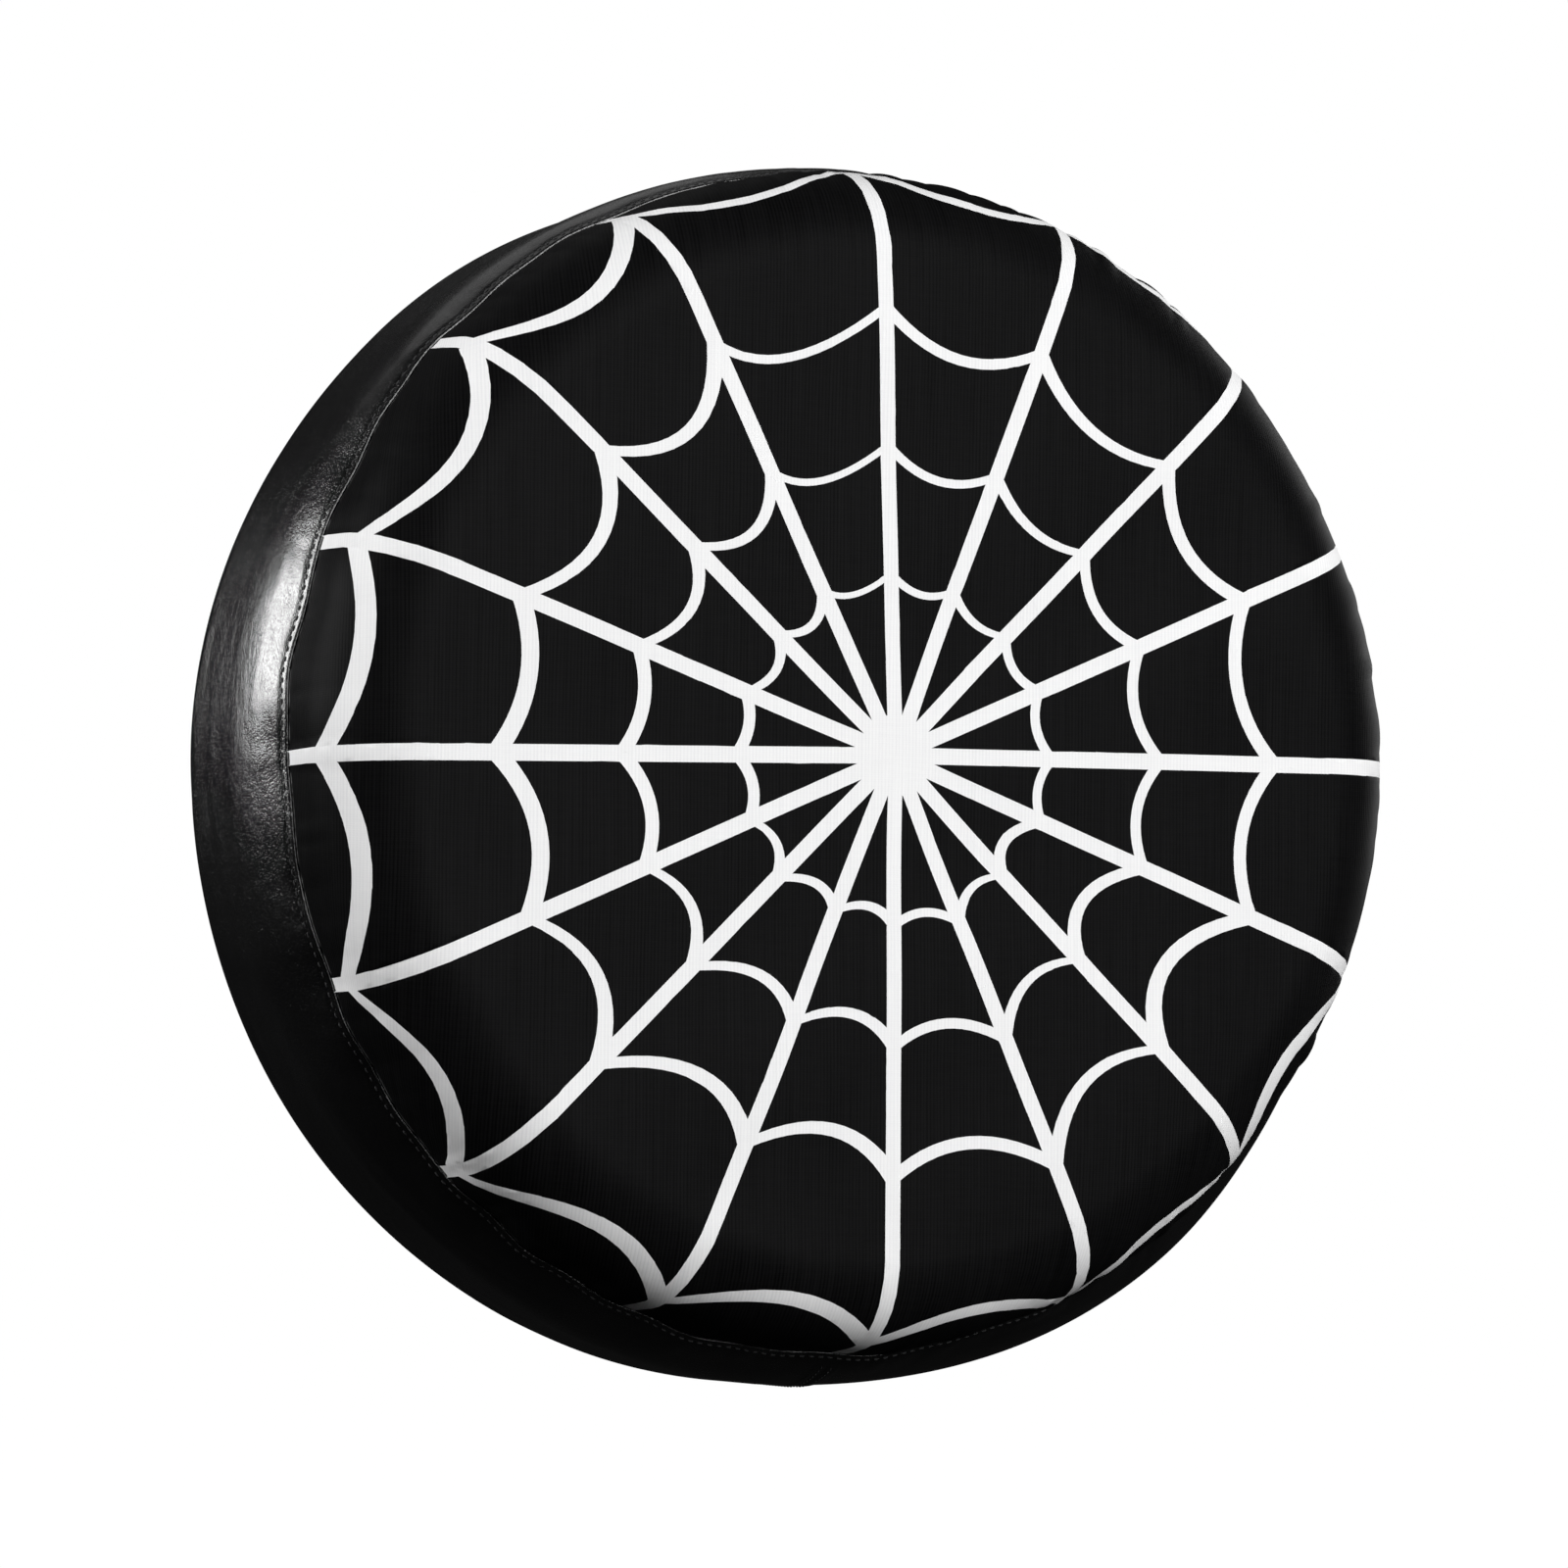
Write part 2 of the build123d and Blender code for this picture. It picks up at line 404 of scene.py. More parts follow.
@dataclass(frozen=True)
class PrintCloth(Finish):
    """Ribbed print cloth: upright warp ribs, uneven in tone, with a painted highlight along the
    seam edge, a thin light-grey line broken up by noise.
    """

    # Colour of the painted highlight along the seam edge.
    seam_highlight: Colour
    seam: float
    rib: float
    relief: float
    roughness: float
    specular: float

    def sockets(self, desk: Desk) -> dict[str, Union[Wire, float]]:
        """Values and wires for the shader's sockets.

        Args:
            desk: The material's desk.

        Returns:
            A value or a wire for each socket, named with underscores for spaces.
        """
        place = desk.position(MapKind.CLOTH)
        across, up, _ = desk.split(place)
        streaks = desk.noise(desk.stretch(place, (1.0, 0.02, 1.0)), 560.0, 3.0, 0.7)
        slubs = desk.noise(desk.stretch(place, (0.1, 1.0, 1.0)), 480.0, 2.0)
        mottle = desk.noise(place, 14.0)
        ribs = abs(desk.wave(across, self.rib))
        picks = abs(desk.wave(up, 0.6 * self.rib))
        tone = streaks * 0.8 + ribs * 0.35 + slubs * 0.25 + mottle * 0.3 + picks * 0.1
        cloth = desk.mix(tone.ramp(0.5, 1.3), self.dark, self.light)
        out = (across * across + up * up) ** 0.5
        # Painted highlight: a thin light-grey line along the seam edge, broken up by noise, mixed
        # into the print's colour.
        seam_highlight_mask = out.ramp(self.seam - 1.6 * MM, self.seam - 0.6 * MM)
        seam_highlight_mask = seam_highlight_mask * desk.noise(place, 90.0, 4.0).ramp(0.42, 0.6)
        return dict(
            Base_Color=desk.mix(seam_highlight_mask, cloth, self.seam_highlight),
            Roughness=self.roughness + 0.12 * (mottle - 0.5),
            Specular_IOR_Level=self.specular,
            Normal=desk.bump(ribs * 0.55 + picks * 0.2 + streaks * 0.4, self.relief),
        )


@dataclass(frozen=True)
class LeatherCloth(Finish):
    """Coated cloth with a fine leather grain and a soft gloss, lighter where it is rubbed."""

    grain: float
    relief: float
    roughness: float
    wrinkle: float = 1.5 * MM

    def sockets(self, desk: Desk) -> dict[str, Union[Wire, float]]:
        """Values and wires for the shader's sockets.

        Args:
            desk: The material's desk.

        Returns:
            A value or a wire for each socket, named with underscores for spaces.
        """
        place = desk.position(MapKind.OBJECT)
        cells = desk.cells(place, 1.0 / self.grain)
        pores = desk.noise(place, 2.2 / self.grain, 2.0)
        wrinkles = desk.noise(desk.stretch(place, (1.0, 2.2, 1.0)), 48.0, 6.0, 0.7)
        rubbed = desk.noise(place, 9.0, 4.0)
        height = cells.ramp(0.05, 0.55) * 0.55 + pores * 0.45
        fine = desk.bump(height, self.relief)
        folds = desk.bump(wrinkles, self.wrinkle, Strength=0.8, Normal=fine)
        return dict(
            Base_Color=desk.mix(rubbed.ramp(0.4, 0.8), self.dark, self.light),
            Roughness=self.roughness + 0.16 * (rubbed - 0.5) + 0.08 * (pores - 0.5),
            Specular_IOR_Level=0.95,
            Coat_Weight=rubbed.ramp(0.2, 0.8, 0.4, 0.62),
            Coat_Roughness=0.22,
            Normal=folds,
        )


@dataclass(frozen=True)
class SewingThread(Finish):
    """Twisted thread."""

    ply: float

    def sockets(self, desk: Desk) -> dict[str, Union[Wire, float]]:
        """Values and wires for the shader's sockets.

        Args:
            desk: The material's desk.

        Returns:
            A value or a wire for each socket, named with underscores for spaces.
        """
        place = desk.position(MapKind.OBJECT)
        first, second, third = desk.split(place)
        twist = ((first + second + third) * (FULL_TURN / self.ply)).sine() * 0.5 + 0.5
        fuzz = desk.noise(place, 1500.0, 2.0)
        return dict(
            Base_Color=desk.mix(twist * 0.7 + fuzz * 0.3, self.dark, self.light),
            Roughness=0.55 + 0.15 * fuzz,
            Specular_IOR_Level=0.4,
            Normal=desk.bump(twist, 0.08 * MM),
        )


@dataclass(frozen=True)
class BraidedElastic(Finish):
    """Flat braid whose ribs run round the wheel axis."""

    rib: float

    def sockets(self, desk: Desk) -> dict[str, Union[Wire, float]]:
        """Values and wires for the shader's sockets.

        Args:
            desk: The material's desk.

        Returns:
            A value or a wire for each socket, named with underscores for spaces.
        """
        place = desk.position(MapKind.OBJECT)
        first, _, third = desk.split(place)
        radius = (first * first + third * third) ** 0.5
        ribs = abs(desk.wave(radius, self.rib))
        fuzz = desk.noise(place, 700.0, 2.0)
        return dict(
            Base_Color=desk.mix(ribs * 0.7 + fuzz * 0.3, self.dark, self.light),
            Roughness=0.8,
            Specular_IOR_Level=0.3,
            Normal=desk.bump(ribs, 0.25 * MM),
        )


@dataclass
class Wardrobe:
    """Every material of the cover, made once."""

    cut: "Cut"
    ink: bpy.types.Material = field(init=False)
    bare: bpy.types.Material = field(init=False)
    reverse: bpy.types.Material = field(init=False)
    leather: bpy.types.Material = field(init=False)
    backing: bpy.types.Material = field(init=False)
    casing: bpy.types.Material = field(init=False)
    tape: bpy.types.Material = field(init=False)
    thread: bpy.types.Material = field(init=False)
    elastic: bpy.types.Material = field(init=False)

    def __post_init__(self) -> None:
        """Makes the materials."""
        rib = 2.2 * MM
        _, seam = self.cut.face_course()
        finishes = {
            # The light grey given to each print for its seam edge is a painted highlight.
            "ink": PrintCloth(
                "black_print", (0.0062, 0.0062, 0.0065), (0.0012, 0.0012, 0.0013),
                seam_highlight=(0.2, 0.2, 0.2), seam=seam, rib=rib, relief=0.1 * MM, roughness=0.5,
                specular=0.03,
            ),
            "bare": PrintCloth(
                "white_cloth", (0.95, 0.95, 0.95), (0.84, 0.84, 0.85),
                seam_highlight=(0.8, 0.8, 0.8), seam=seam, rib=rib, relief=0.1 * MM, roughness=0.8,
                specular=0.2,
            ),
            "reverse": WovenCloth(
                "cloth_reverse", (0.55, 0.55, 0.56), (0.4, 0.4, 0.41),
                pitch=rib, relief=0.15 * MM, roughness=0.85, specular=0.2,
            ),
            "leather": LeatherCloth(
                "leather_band", (0.0045, 0.0045, 0.0048), (0.0022, 0.0022, 0.0024),
                grain=1.5 * MM, relief=0.2 * MM, roughness=0.25,
            ),
            "backing": WovenCloth(
                "band_backing", (0.05, 0.05, 0.052), (0.025, 0.025, 0.026),
                pitch=1.1 * MM, relief=0.2 * MM, roughness=0.9, specular=0.15,
            ),
            "casing": WovenCloth(
                "casing_cloth", (0.022, 0.022, 0.024), (0.01, 0.01, 0.011),
                pitch=1.2 * MM, relief=0.15 * MM, roughness=0.7, specular=0.25, sheen=0.15,
            ),
            "tape": WovenCloth(
                "binding_tape", (0.03, 0.03, 0.032), (0.014, 0.014, 0.015),
                pitch=1.0 * MM, relief=0.15 * MM, roughness=0.75, specular=0.25, sheen=0.1,
            ),
            "thread": SewingThread(
                "black_thread", (0.055, 0.055, 0.057), (0.018, 0.018, 0.019), ply=0.5 * MM
            ),
            "elastic": BraidedElastic(
                "braided_elastic", (0.72, 0.72, 0.7), (0.5, 0.5, 0.48), rib=1.0 * MM
            ),
        }
        for name, finish in finishes.items():
            setattr(self, name, finish.make())


# --------------------------------------------------------------------------- section curves


def smooth(value: np.ndarray, low: float, high: float) -> np.ndarray:
    """Smooth step from 0 at low to 1 at high.

    Args:
        value: Values to map.
        low: Start of the step.
        high: End of the step.

    Returns:
        The steps.
    """
    share = np.clip((value - low) / (high - low), 0.0, 1.0)
    return share * share * (3.0 - 2.0 * share)


def straight(start: np.ndarray, end: np.ndarray, count: int) -> np.ndarray:
    """Evenly spaced points from one place to another."""
    return start + np.linspace(0.0, 1.0, count)[:, None] * (end - start)


def unit(turn: np.ndarray) -> np.ndarray:
    """Flat unit vectors at angles from the first axis."""
    return np.stack([np.cos(turn), np.sin(turn)], axis=1)


def turned(angle: np.ndarray, middle: float) -> np.ndarray:
    """Angles measured from a middle, from minus half a turn to half a turn."""
    return (angle - middle + math.pi) % FULL_TURN - math.pi


def loose(angle: np.ndarray, side: float, least: float) -> np.ndarray:
    """Share of a fold's height: whole on the loose side and least across from it."""
    return least + (1.0 - least) * smooth(np.cos(angle - side), -0.6, 0.4)


def arc(centre: tuple[float, float], radius: float, start: float, end: float) -> np.ndarray:
    """Points on an arc in the section plane, close together.

    Args:
        centre: Radius and height of its centre.
        radius: The arc's own radius.
        start: First angle in degrees, 0 pointing away from the wheel axis.
        end: Last angle in degrees.

    Returns:
        An array of radius and height.
    """
    count = max(3, int(abs(math.radians(end - start)) * radius / ARC_STEP) + 2)
    return np.array(centre) + radius * unit(np.radians(np.linspace(start, end, count)))


class Course:
    """A section curve of radius and height, measured along its length."""

    def __init__(self, *stretches: np.ndarray) -> None:
        """Joins stretches of points end to end.

        Args:
            stretches: Arrays of radius and height.
        """
        points = np.concatenate(stretches)
        steps = np.hypot(*np.diff(points, axis=0).T)
        keep = np.concatenate([[True], steps > 1e-6])
        self.points = points[keep]
        steps = np.hypot(*np.diff(self.points, axis=0).T)
        self.along = np.concatenate([[0.0], np.cumsum(steps)])
        self.length = float(self.along[-1])

    def at(self, distance: np.ndarray) -> tuple[np.ndarray, np.ndarray]:
        """Radius and height at distances along the curve."""
        radius = np.interp(distance, self.along, self.points[:, 0])
        height = np.interp(distance, self.along, self.points[:, 1])
        return radius, height

    def normal(self, distance: np.ndarray, reach: float) -> tuple[np.ndarray, np.ndarray]:
        """Unit normal on the right-hand side of the curve, smoothed over a short reach.

        Args:
            distance: Distances along the curve.
            reach: How far each side the slope is measured.

        Returns:
            Its radius part and its height part.
        """
        ahead = self.at(np.minimum(distance + reach, self.length))
        behind = self.at(np.maximum(distance - reach, 0.0))
        radial, axial = ahead[0] - behind[0], ahead[1] - behind[1]
        size = np.maximum(np.hypot(radial, axial), 1e-9)
        return axial / size, -radial / size

    def where_radius(self, radius: float, from_end: bool = False) -> float:
        """Distance along the curve at which it is nearest to a radius."""
        order = -1 if from_end else 1
        gap = np.abs(self.points[::order, 0] - radius)
        return float(self.along[::order][int(gap.argmin())])


def on_wheel(angle: np.ndarray, radius: np.ndarray, height: np.ndarray) -> np.ndarray:
    """Places in the frame from an angle round the axis, a radius and a height."""
    return np.stack([radius * np.cos(angle), height + 0.0 * angle, radius * np.sin(angle)], -1)


@dataclass
class Gathers:
    """Puckers that a curved seam gives cloth: narrow valleys with round ridges between."""

    count: int
    seed: int
    jitter: float = 0.32
    sharpness: float = 0.6

    def __post_init__(self) -> None:
        """Draws the valleys' places and the ridges' heights and lengths."""
        rng = np.random.default_rng(self.seed)
        step = FULL_TURN / self.count
        places = (np.arange(self.count) + rng.uniform(-self.jitter, self.jitter, self.count)) * step
        self.valleys = np.sort(places)
        self.heights = rng.uniform(0.25, 1.0, self.count)
        self.lengths = rng.uniform(0.35, 1.0, self.count)

    def ridges(self, angle: np.ndarray, reach: np.ndarray) -> np.ndarray:
        """Height of the ridges.

        Args:
            angle: Angles round the axis.
            reach: 0 at the seam and 1 where the longest ridge has died away, or beyond either.

        Returns:
            Heights from 0 to 1.
        """
        turn = (angle - self.valleys[0]) % FULL_TURN + self.valleys[0]
        index = np.clip(np.searchsorted(self.valleys, turn, side="right") - 1, 0, self.count - 1)
        start = self.valleys[index]
        following = np.append(self.valleys[1:], self.valleys[0] + FULL_TURN)[index]
        share = np.clip((turn - start) / (following - start), 0.0, 1.0)
        bulge = np.sin(math.pi * share) ** self.sharpness
        fade = 1.0 - smooth(reach / self.lengths[index], 0.15, 1.0)
        return bulge * self.heights[index] * fade


@dataclass
class Ripples:
    """A smooth uneven surface: a few waves of random direction, the same on each run."""

    seed: int
    lengths: tuple[float, float]
    count: int = 14

    def __post_init__(self) -> None:
        """Draws the waves."""
        rng = np.random.default_rng(self.seed)
        size = FULL_TURN / rng.uniform(*self.lengths, self.count)
        self.waves = size[:, None] * unit(rng.uniform(0.0, FULL_TURN, self.count))
        self.phases = rng.uniform(0.0, FULL_TURN, self.count)

    def at(self, first: np.ndarray, second: np.ndarray) -> np.ndarray:
        """Height between about -1 and 1 at two coordinates in metres."""
        total = np.zeros(np.broadcast(first, second).shape)
        for (across, along), phase in zip(self.waves, self.phases):
            total = total + np.sin(across * first + along * second + phase)
        return total / math.sqrt(self.count)


@dataclass
class Drape:
    """How the sewn cover strays from a true round: its seam wanders and its band hangs.

    Fullness is given at even steps round the axis, from +X towards +Z: the band is pulled tight
    at the top and hangs loose below on the right, where the rim of the face is drawn in.
    """

    wander: float = 0.9 * MM
    wander_reach: float = 24.0 * MM
    band_fullness: tuple[float, ...] = (
        10.0 * MM, -5.0 * MM, -16.0 * MM, -10.0 * MM, -2.4 * MM, 0.3 * MM, 2.0 * MM, 17.5 * MM,
    )
    rim_fullness: tuple[float, ...] = (
        3.0 * MM, 1.0 * MM, 0.0 * MM, 0.0 * MM, 0.0 * MM, 0.0 * MM, -2.0 * MM, -5.0 * MM,
    )
    seed: int = 17
    orders: tuple[int, int] = (9, 44)

    def __post_init__(self) -> None:
        """Draws the waves of the seam."""
        rng = np.random.default_rng(self.seed)
        self.turns = np.arange(*self.orders)
        sizes = rng.normal(0.0, 1.0, (2, len(self.turns))) / np.sqrt(self.turns)
        self.sizes = sizes / np.sqrt((sizes**2).sum(axis=1, keepdims=True) / 2)
        self.phases = rng.uniform(0.0, FULL_TURN, sizes.shape)

    def seam_shift(self, angle: np.ndarray, from_seam: np.ndarray) -> np.ndarray:
        """Shift near the face seam, the same for every layer that is sewn there.

        Args:
            angle: Angles round the axis.
            from_seam: Distances from the seam.

        Returns:
            Vectors in the frame.
        """
        fade = self.wander * np.exp(-((from_seam / self.wander_reach) ** 2))
        out, back = (
            fade * sum(
                size * np.sin(order * angle + phase)
                for order, size, phase in zip(self.turns, self.sizes[way], self.phases[way])
            )
            for way in (0, 1)
        )
        return on_wheel(angle, out, back)

    def fuller(
        self, fullness: Sequence[float], angle: np.ndarray, share: np.ndarray
    ) -> np.ndarray:
        """Shift of the cloth in or out.

        Args:
            fullness: Sizes of the shift at even steps round the axis.
            angle: Angles round the axis.
            share: How much of the shift there is at each place.

        Returns:
            Vectors in the frame.
        """
        turn = (angle % FULL_TURN) * len(fullness) / FULL_TURN
        before = np.floor(turn).astype(int) % len(fullness)
        sizes = np.array(fullness)
        start, end = sizes[before], sizes[(before + 1) % len(fullness)]
        out = start + (end - start) * smooth(turn - np.floor(turn), 0.0, 1.0)
        return on_wheel(angle, out * share, 0.0 * share)


class RoundSheet:
    """Cloth laid round the wheel axis along a section curve."""

    cut: "Cut"
    course: Course
    slope_reach: float = 1.5 * MM

    def shift(self, angle: np.ndarray, distance: np.ndarray) -> np.ndarray:
        """How far the cloth strays from its section, as vectors in the frame."""
        return np.zeros((*np.broadcast(angle, distance).shape, 3))

    def rise(self, angle: np.ndarray, distance: np.ndarray) -> np.ndarray:
        """Height of its folds above its section."""
        return np.zeros(np.broadcast(angle, distance).shape)

    def outward(self, angle: np.ndarray, distance: np.ndarray) -> np.ndarray:
        """Unit vectors out of the section."""
        radial, axial = self.course.normal(distance, self.slope_reach)
        return on_wheel(angle, radial, axial)

    def surface(
        self,
        angle: np.ndarray,
        distance: np.ndarray,
        lift: Union[float, np.ndarray] = 0.0,
        folds: bool = True,
    ) -> np.ndarray:
        """Places on the cloth, or on a layer above or below it.

        Args:
            angle: Angles round the axis.
            distance: Distances along the section.
            lift: Height of the layer above the cloth's outer side, one for all or one for each.
            folds: Whether the layer follows the folds.

        Returns:
            Places in the frame.
        """
        radius, height = self.course.at(distance)
        up = lift + (self.rise(angle, distance) if folds else 0.0 * distance * angle)
        flat = on_wheel(angle, radius, height)
        return flat + self.outward(angle, distance) * up[..., None] + self.shift(angle, distance)

    def laid(self, rows: np.ndarray, columns: np.ndarray) -> tuple[np.ndarray, np.ndarray]:
        """A grid on the cloth.

        Args:
            rows: Distances along the section.
            columns: Angles round the axis.

        Returns:
            Places in the frame and coordinates on the cut cloth, one for each vertex.
        """
        distance, angle = np.meshgrid(rows, columns, indexing="ij")
        points = self.surface(angle, distance).reshape(-1, 3)
        return points, on_cloth(angle * self.cut.band_radius, distance)


# ----------------------------------------------------------------------------- mesh helpers


def make_object(
    name: str,
    points: np.ndarray,
    faces: Iterable[Sequence[int]],
    materials: Sequence[bpy.types.Material],
    cloth: Union[np.ndarray, None] = None,
    indices: Union[np.ndarray, None] = None,
) -> bpy.types.Object:
    """A smooth-shaded mesh object in the scene.

    Args:
        name: The piece's name.
        points: Its vertices.
        faces: Vertex numbers of each face.
        materials: Its material slots.
        cloth: Coordinates on the cut cloth for each vertex, in metres.
        indices: Material slot of each face.

    Returns:
        The object.
    """
    mesh = bpy.data.meshes.new(name)
    mesh.from_pydata(points.tolist(), [], [list(face) for face in faces])
    for material in materials:
        mesh.materials.append(material)
    if indices is not None:
        mesh.polygons.foreach_set("material_index", indices.astype(np.int32))
    if cloth is not None:
        corners = np.empty(len(mesh.loops), np.int32)
        mesh.loops.foreach_get("vertex_index", corners)
        layer = mesh.uv_layers.new(name=CLOTH_MAP)
        layer.data.foreach_set("uv", cloth[corners].astype(np.float32).ravel())
    mesh.shade_smooth()
    mesh.update()
    made = bpy.data.objects.new(name, mesh)
    bpy.context.scene.collection.objects.link(made)
    return made


def quads(rows: int, columns: int, closed: bool = True) -> np.ndarray:
    """Faces of a grid of vertices.

    Args:
        rows: Rows of vertices.
        columns: Vertices in a row.
        closed: Whether each row is a ring.

    Returns:
        Vertex numbers of each quad.
    """
    across = np.arange(columns if closed else columns - 1)
    row, column = np.meshgrid(np.arange(rows - 1), across, indexing="ij")
    following = (column + 1) % columns
    corners = (
        row * columns + column,
        row * columns + following,
        (row + 1) * columns + following,
        (row + 1) * columns + column,
    )
    return np.stack([corner.ravel() for corner in corners], axis=1)


def on_cloth(across: np.ndarray, along: np.ndarray) -> np.ndarray:
    """Coordinates on the cut cloth, one pair for each vertex of a grid."""
    return np.stack([across, along], axis=-1).reshape(-1, 2)


def join(parts: Sequence[bpy.types.Object]) -> bpy.types.Object:
    """Joins mesh objects into the first one.

    Args:
        parts: The objects, all at the origin.

    Returns:
        The first object, with every part's mesh.
    """
    with bpy.context.temp_override(
        active_object=parts[0], selected_editable_objects=list(parts)
    ):
        bpy.ops.object.join()
    return parts[0]


def weld(
    points: Sequence[Vector],
    triangles: Sequence[Sequence[int]],
    owners: Sequence[Sequence[int]],
    gap: float,
) -> tuple[np.ndarray, np.ndarray, np.ndarray]:
    """Joins points of a flat sheet that are closer than a gap, so that no sliver is left.

    Args:
        points: Flat points.
        triangles: Point numbers of each triangle.
        owners: The outlines that each triangle lies in.
        gap: The distance.

    Returns:
        The points, the triangles, and 1 for each triangle within an outline or else 0.
    """
    mesh = bmesh.new()
    made = [mesh.verts.new((point.x, point.y, 0.0)) for point in points]
    for corners, inside in zip(triangles, owners):
        face = mesh.faces.new([made[corner] for corner in corners])
        face.material_index = 1 if inside else 0
    bmesh.ops.remove_doubles(mesh, verts=mesh.verts, dist=gap)
    bmesh.ops.dissolve_degenerate(mesh, edges=mesh.edges, dist=gap / 4)
    bmesh.ops.triangulate(mesh, faces=mesh.faces)
    mesh.verts.index_update()
    flat = np.array([(vertex.co.x, vertex.co.y) for vertex in mesh.verts])
    kept = [
        ([vertex.index for vertex in face.verts], face.material_index)
        for face in mesh.faces
        if face.normal.z > 0.0 and face.calc_area() > 0.0
    ]
    mesh.free()
    return flat, np.array([corners for corners, _ in kept]), np.array([slot for _, slot in kept])


def thicken(piece: bpy.types.Object, thickness: float, inside_slot: int = 0) -> None:
    """Gives a sheet its thickness on its inner side.

    Args:
        piece: The sheet.
        thickness: The cloth's thickness.
        inside_slot: How many slots on the inner face's material is.
    """
    solid = piece.modifiers.new("thickness", "SOLIDIFY")
    solid.thickness = thickness
    solid.offset = -1.0
    solid.material_offset = inside_slot


def row_of_stitches(
    name: str,
    places: np.ndarray,
    outward: np.ndarray,
    length: float,
    thickness: float,
    material: bpy.types.Material,
) -> bpy.types.Object:
    """Separate stitches along a line: short rounded threads whose ends dip into the cloth.

    Args:
        name: The piece's name.
        places: Middle of each stitch, with one more point to close or end the line.
        outward: Unit direction out of the cloth at each stitch.
        length: Length of a stitch that shows.
        thickness: The thread's diameter.
        material: The thread's finish.

    Returns:
        The object.
    """
    sides, rings = 6, 7
    count = len(outward)
    tangent = places[1 : count + 1] - places[:count]
    tangent /= np.linalg.norm(tangent, axis=1, keepdims=True)
    side = np.cross(tangent, outward)
    share = np.linspace(-1.0, 1.0, rings)
    dip = -thickness * 0.9 * share**4
    width = thickness / 2 * np.sqrt(np.clip(1.0 - share**6, 0.04, 1.0))
    turn = np.arange(sides) * FULL_TURN / sides
    middle = (
        places[:count, None, :]
        + tangent[:, None, :] * (share * length / 2)[None, :, None]
        + outward[:, None, :] * dip[None, :, None]
    )
    around = (
        side[:, None, None, :] * np.cos(turn)[None, None, :, None]
        + outward[:, None, None, :] * np.sin(turn)[None, None, :, None]
    )
    points = (middle[:, :, None, :] + around * width[None, :, None, None]).reshape(-1, 3)
    one = quads(rings, sides)
    ends = [list(range(sides))[::-1], list(range((rings - 1) * sides, rings * sides))]
    faces = [
        [corner + stitch * rings * sides for corner in face]
        for stitch in range(count)
        for face in [*one.tolist(), *ends]
    ]
    return make_object(name, points, faces, [material])


# --------------------------------------------------------------------------- the cover's cut


